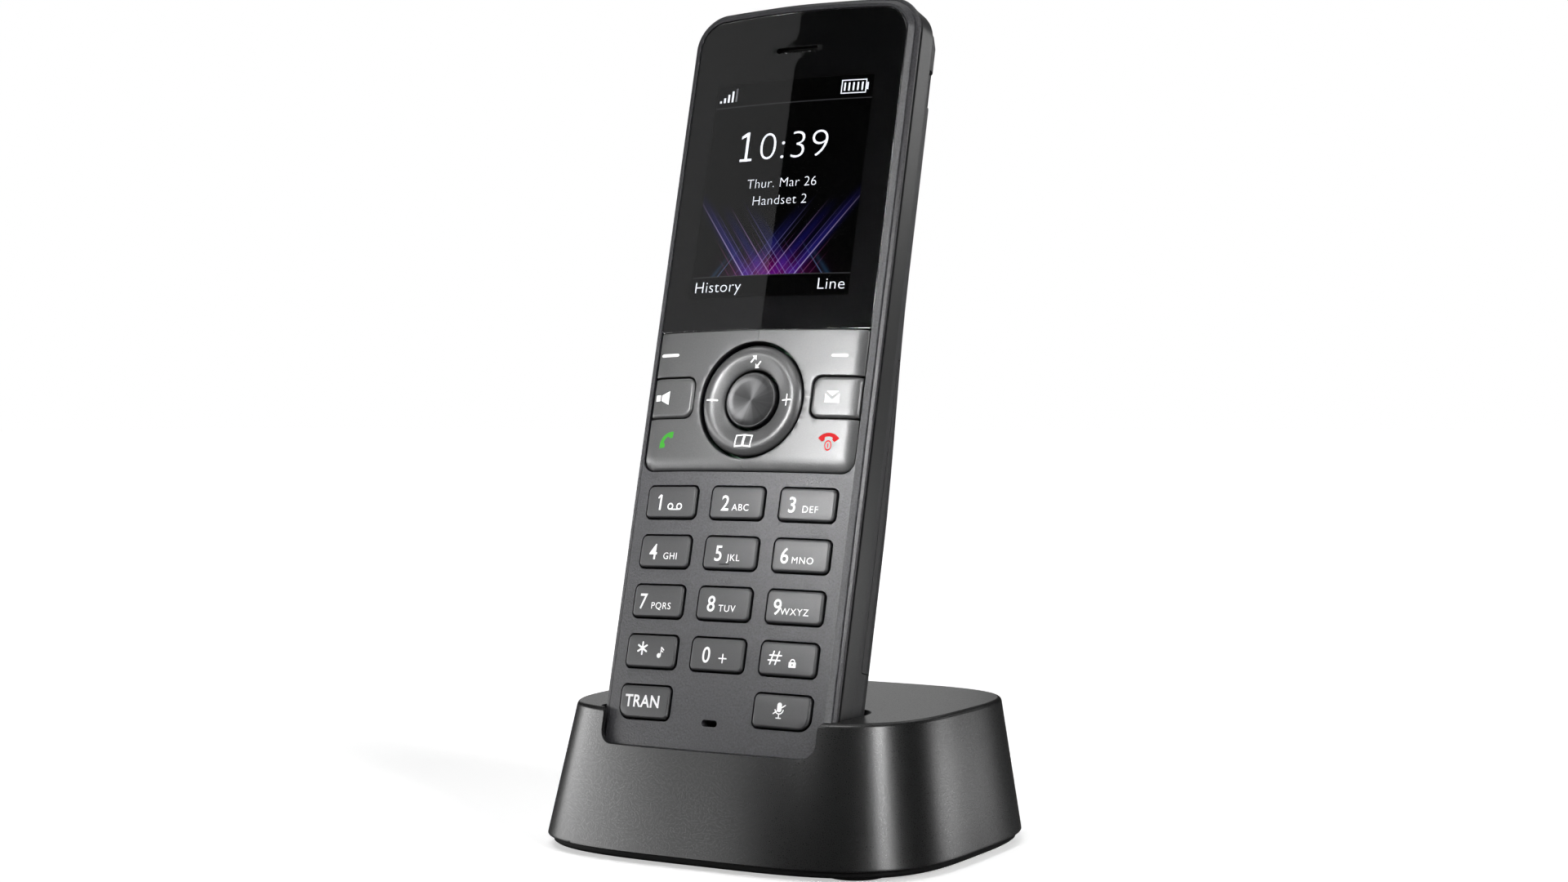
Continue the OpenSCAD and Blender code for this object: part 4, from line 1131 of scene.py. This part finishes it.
def cradle():
    ob = build("cradle_shell", skin([cradle_ring(z, inset) for z, inset in SHELL_WALL]), WORLD)
    inner = build("cutter", skin([cradle_ring(z, 1.5) for z in (1.0, CRADLE_H - 2)]), WORLD)
    well = build("cutter", extruded(well_loop(), 1, -127.5, -67.5))
    notch = build("cutter", extruded(notch_loop(), 1, -50.0, -10.0), WORLD)
    inlet = build("cutter", extruded(rounded(0, 7.5, 10.4, 5.2, 1.2), 1, 20, 40), WORLD)
    carve(ob, [inner, well, notch, inlet])
    tidy(ob.data, 1e-6)
    bevel(ob, 0.3, 38)
    place(shade(ob, 30), "cradle", CRADLE, ["cradle_housing"])
    plate = skin([raised(cradle_ring(SHELL_Z, inset)[:, :2], z) for z, inset in PLATE_WALL])
    piece("cradle_underplate", plate, 35, "cradle", BLACK, ["cradle_base_plate"], WORLD)


cradle()

# ---- carried-over parts

NODE_LOOKS = {
    BLACK: ("cradle_well", "contact_block", "headset_jack", "loudspeaker", "earpiece_speaker",
            "vibration_motor"),
    RUBBER: ("cradle_feet", "microphone_boot", "keypad_mat"),
    STEEL: ("cradle_screws", "cradle_ballast", "cradle_power_inlet", "casing_screws", "display_frame",
            "dome_sheet", "nav_pivot_frame"),
    DARK_STEEL: ("earpiece_mesh",),
    BOARD: ("cradle_circuit_board", "main_circuit_board"),
    GOLD: ("charge_contact_left", "charge_contact_right", "battery_contacts", "charging_pads", "antenna",
           "microphone"),
    REAR: ("rear_casing", "battery_door"),
    WRAP: ("battery_pack",),
}


def carried_over():
    for material, names in NODE_LOOKS.items():
        for name in names:
            ob = frame["nodes"][name]
            paint(ob, material)
            smooth(ob.data, 30)


carried_over()

# ---- stage and light

# the floor's glow near the object and far off, and the distances in m between which it changes
FLOOR_GLOW = (0.5, 1.0, 0.12, 0.45)


def stage():
    mesh = bpy.data.meshes.new("floor")
    bm = bmesh.new()
    bmesh.ops.create_grid(bm, x_segments=8, y_segments=8, size=6.0)
    bm.to_mesh(mesh)
    bm.free()
    floor = linked("floor", mesh)
    g = Graph("floor_white")
    fine = g.noise(300, 2.0)
    far = g.node("ShaderNodeVectorMath", {0: g.place}, operation="LENGTH").outputs["Value"]
    # dim for everything but the view, so that the floor doesn't light the object from below
    direct = g.node("ShaderNodeLightPath").outputs["Is Camera Ray"]
    glow = g.math("MULTIPLY", g.spread(direct, 0.04, 1.0), g.spread(far, *FLOOR_GLOW))
    white = g.ramp(fine, [(0.3, (0.86,) * 3), (0.7, (0.88,) * 3)])
    g.set(Base_Color=g.mix(direct, (0.05, 0.05, 0.05, 1), white), Roughness=0.7, Specular_IOR_Level=0.2,
          Emission_Color=(1, 1, 1, 1), Emission_Strength=glow)
    mesh.materials.append(g.material)


AIM = Vector((0.0, 0.0, 0.07))


def area_light(name, size, radiance):
    data = bpy.data.lights.new(name, "AREA")
    data.shape, data.size, data.size_y = "RECTANGLE", size[0], size[1]
    data.energy = radiance * math.pi * size[0] * size[1]
    ob = linked(name, data)
    ob.visible_camera = False
    return ob


def softbox(name, azimuth, height, away, size, radiance, aim=AIM, cone=180):
    """A soft light aimed at the object. Its azimuth is counted in degrees from the front towards the
    right, and cone is the angle over which it shines."""
    a, e = math.radians(azimuth), math.radians(height)
    ob = area_light(name, size, radiance)
    out = Vector((math.sin(a) * math.cos(e), -math.cos(a) * math.cos(e), math.sin(e)))
    ob.location = aim + away * out
    ob.rotation_euler = (aim - ob.location).to_track_quat("-Z", "Y").to_euler()
    ob.data.spread = math.radians(cone)


def mirrored_card(name, away, size, radiance):
    """A card whose right-hand edge is seen in the lens along the line u = 0."""
    ends = []
    for v in (-46.0, 12.0):
        at = ORIGIN + V * v * MM
        view = (at - CAMERA_AT).normalized()
        ends.append(at + away * (view - 2 * view.dot(W) * W))
    up = (ends[1] - ends[0]).normalized()
    middle = (ends[0] + ends[1]) / 2
    face = (ORIGIN - V * 0.017 - middle).normalized()
    across = up.cross(face).normalized()
    face = across.cross(up)
    ob = area_light(name, size, radiance)
    turn = Matrix((-across, up, -face)).transposed()
    side = across if across.x < 0 else -across
    ob.matrix_world = Matrix.Translation(middle + side * size[0] / 2) @ turn.to_4x4()


def sky():
    world = bpy.data.worlds.new("studio")
    bpy.context.scene.world = world
    world.use_nodes = True
    tree = world.node_tree
    ground = tree.nodes["Background"]
    ground.inputs["Color"].default_value = (1, 1, 1, 1)
    path = tree.nodes.new("ShaderNodeLightPath")
    level = tree.nodes.new("ShaderNodeMapRange")
    level.inputs["To Min"].default_value = 0.01
    tree.links.new(path.outputs["Is Camera Ray"], level.inputs["Value"])
    tree.links.new(level.outputs[0], ground.inputs["Strength"])


def lights():
    softbox("key_light", 14, 54, 0.9, (0.36, 0.36), 6.4)
    softbox("top_light", 180, 76, 0.6, (0.5, 0.4), 1.1)
    softbox("lip_light", -92, 60, 0.7, (0.34, 0.14), 0.13, Vector((0.0, -0.02, 0.018)), 12)
    softbox("sheen", -16, 21.5, 0.36, (0.14, 0.06), 1.3, Vector((0.024, -0.0145, 0.076)), 18)
    softbox("rim_light", 66, 22, 0.7, (0.26, 0.32), 0.56, Vector((0.02, 0.0, 0.115)), 17)
    softbox("side_light", 150, 10, 0.5, (0.12, 0.10), 0.2, Vector((0.023, 0.005, 0.137)), 24)
    softbox("right_strip", 71, 2, 0.7, (0.19, 0.14), 5.0)
    softbox("left_wall", -64, 3, 0.8, (1.05, 0.16), 6.8)
    softbox("low_right", 141, 1, 0.3, (0.08, 0.045), 6.8, Vector((0.03, 0.0, 0.018)))
    softbox("back_fill", 175, 42, 0.9, (0.4, 0.3), 1.2)
    softbox("back_wall", -144, 9, 0.9, (0.42, 0.24), 0.75)
    mirrored_card("left_card", 0.6, (0.5, 0.9), 0.3)


stage()
sky()
lights()
bpy.context.scene.view_settings.view_transform = "Standard"
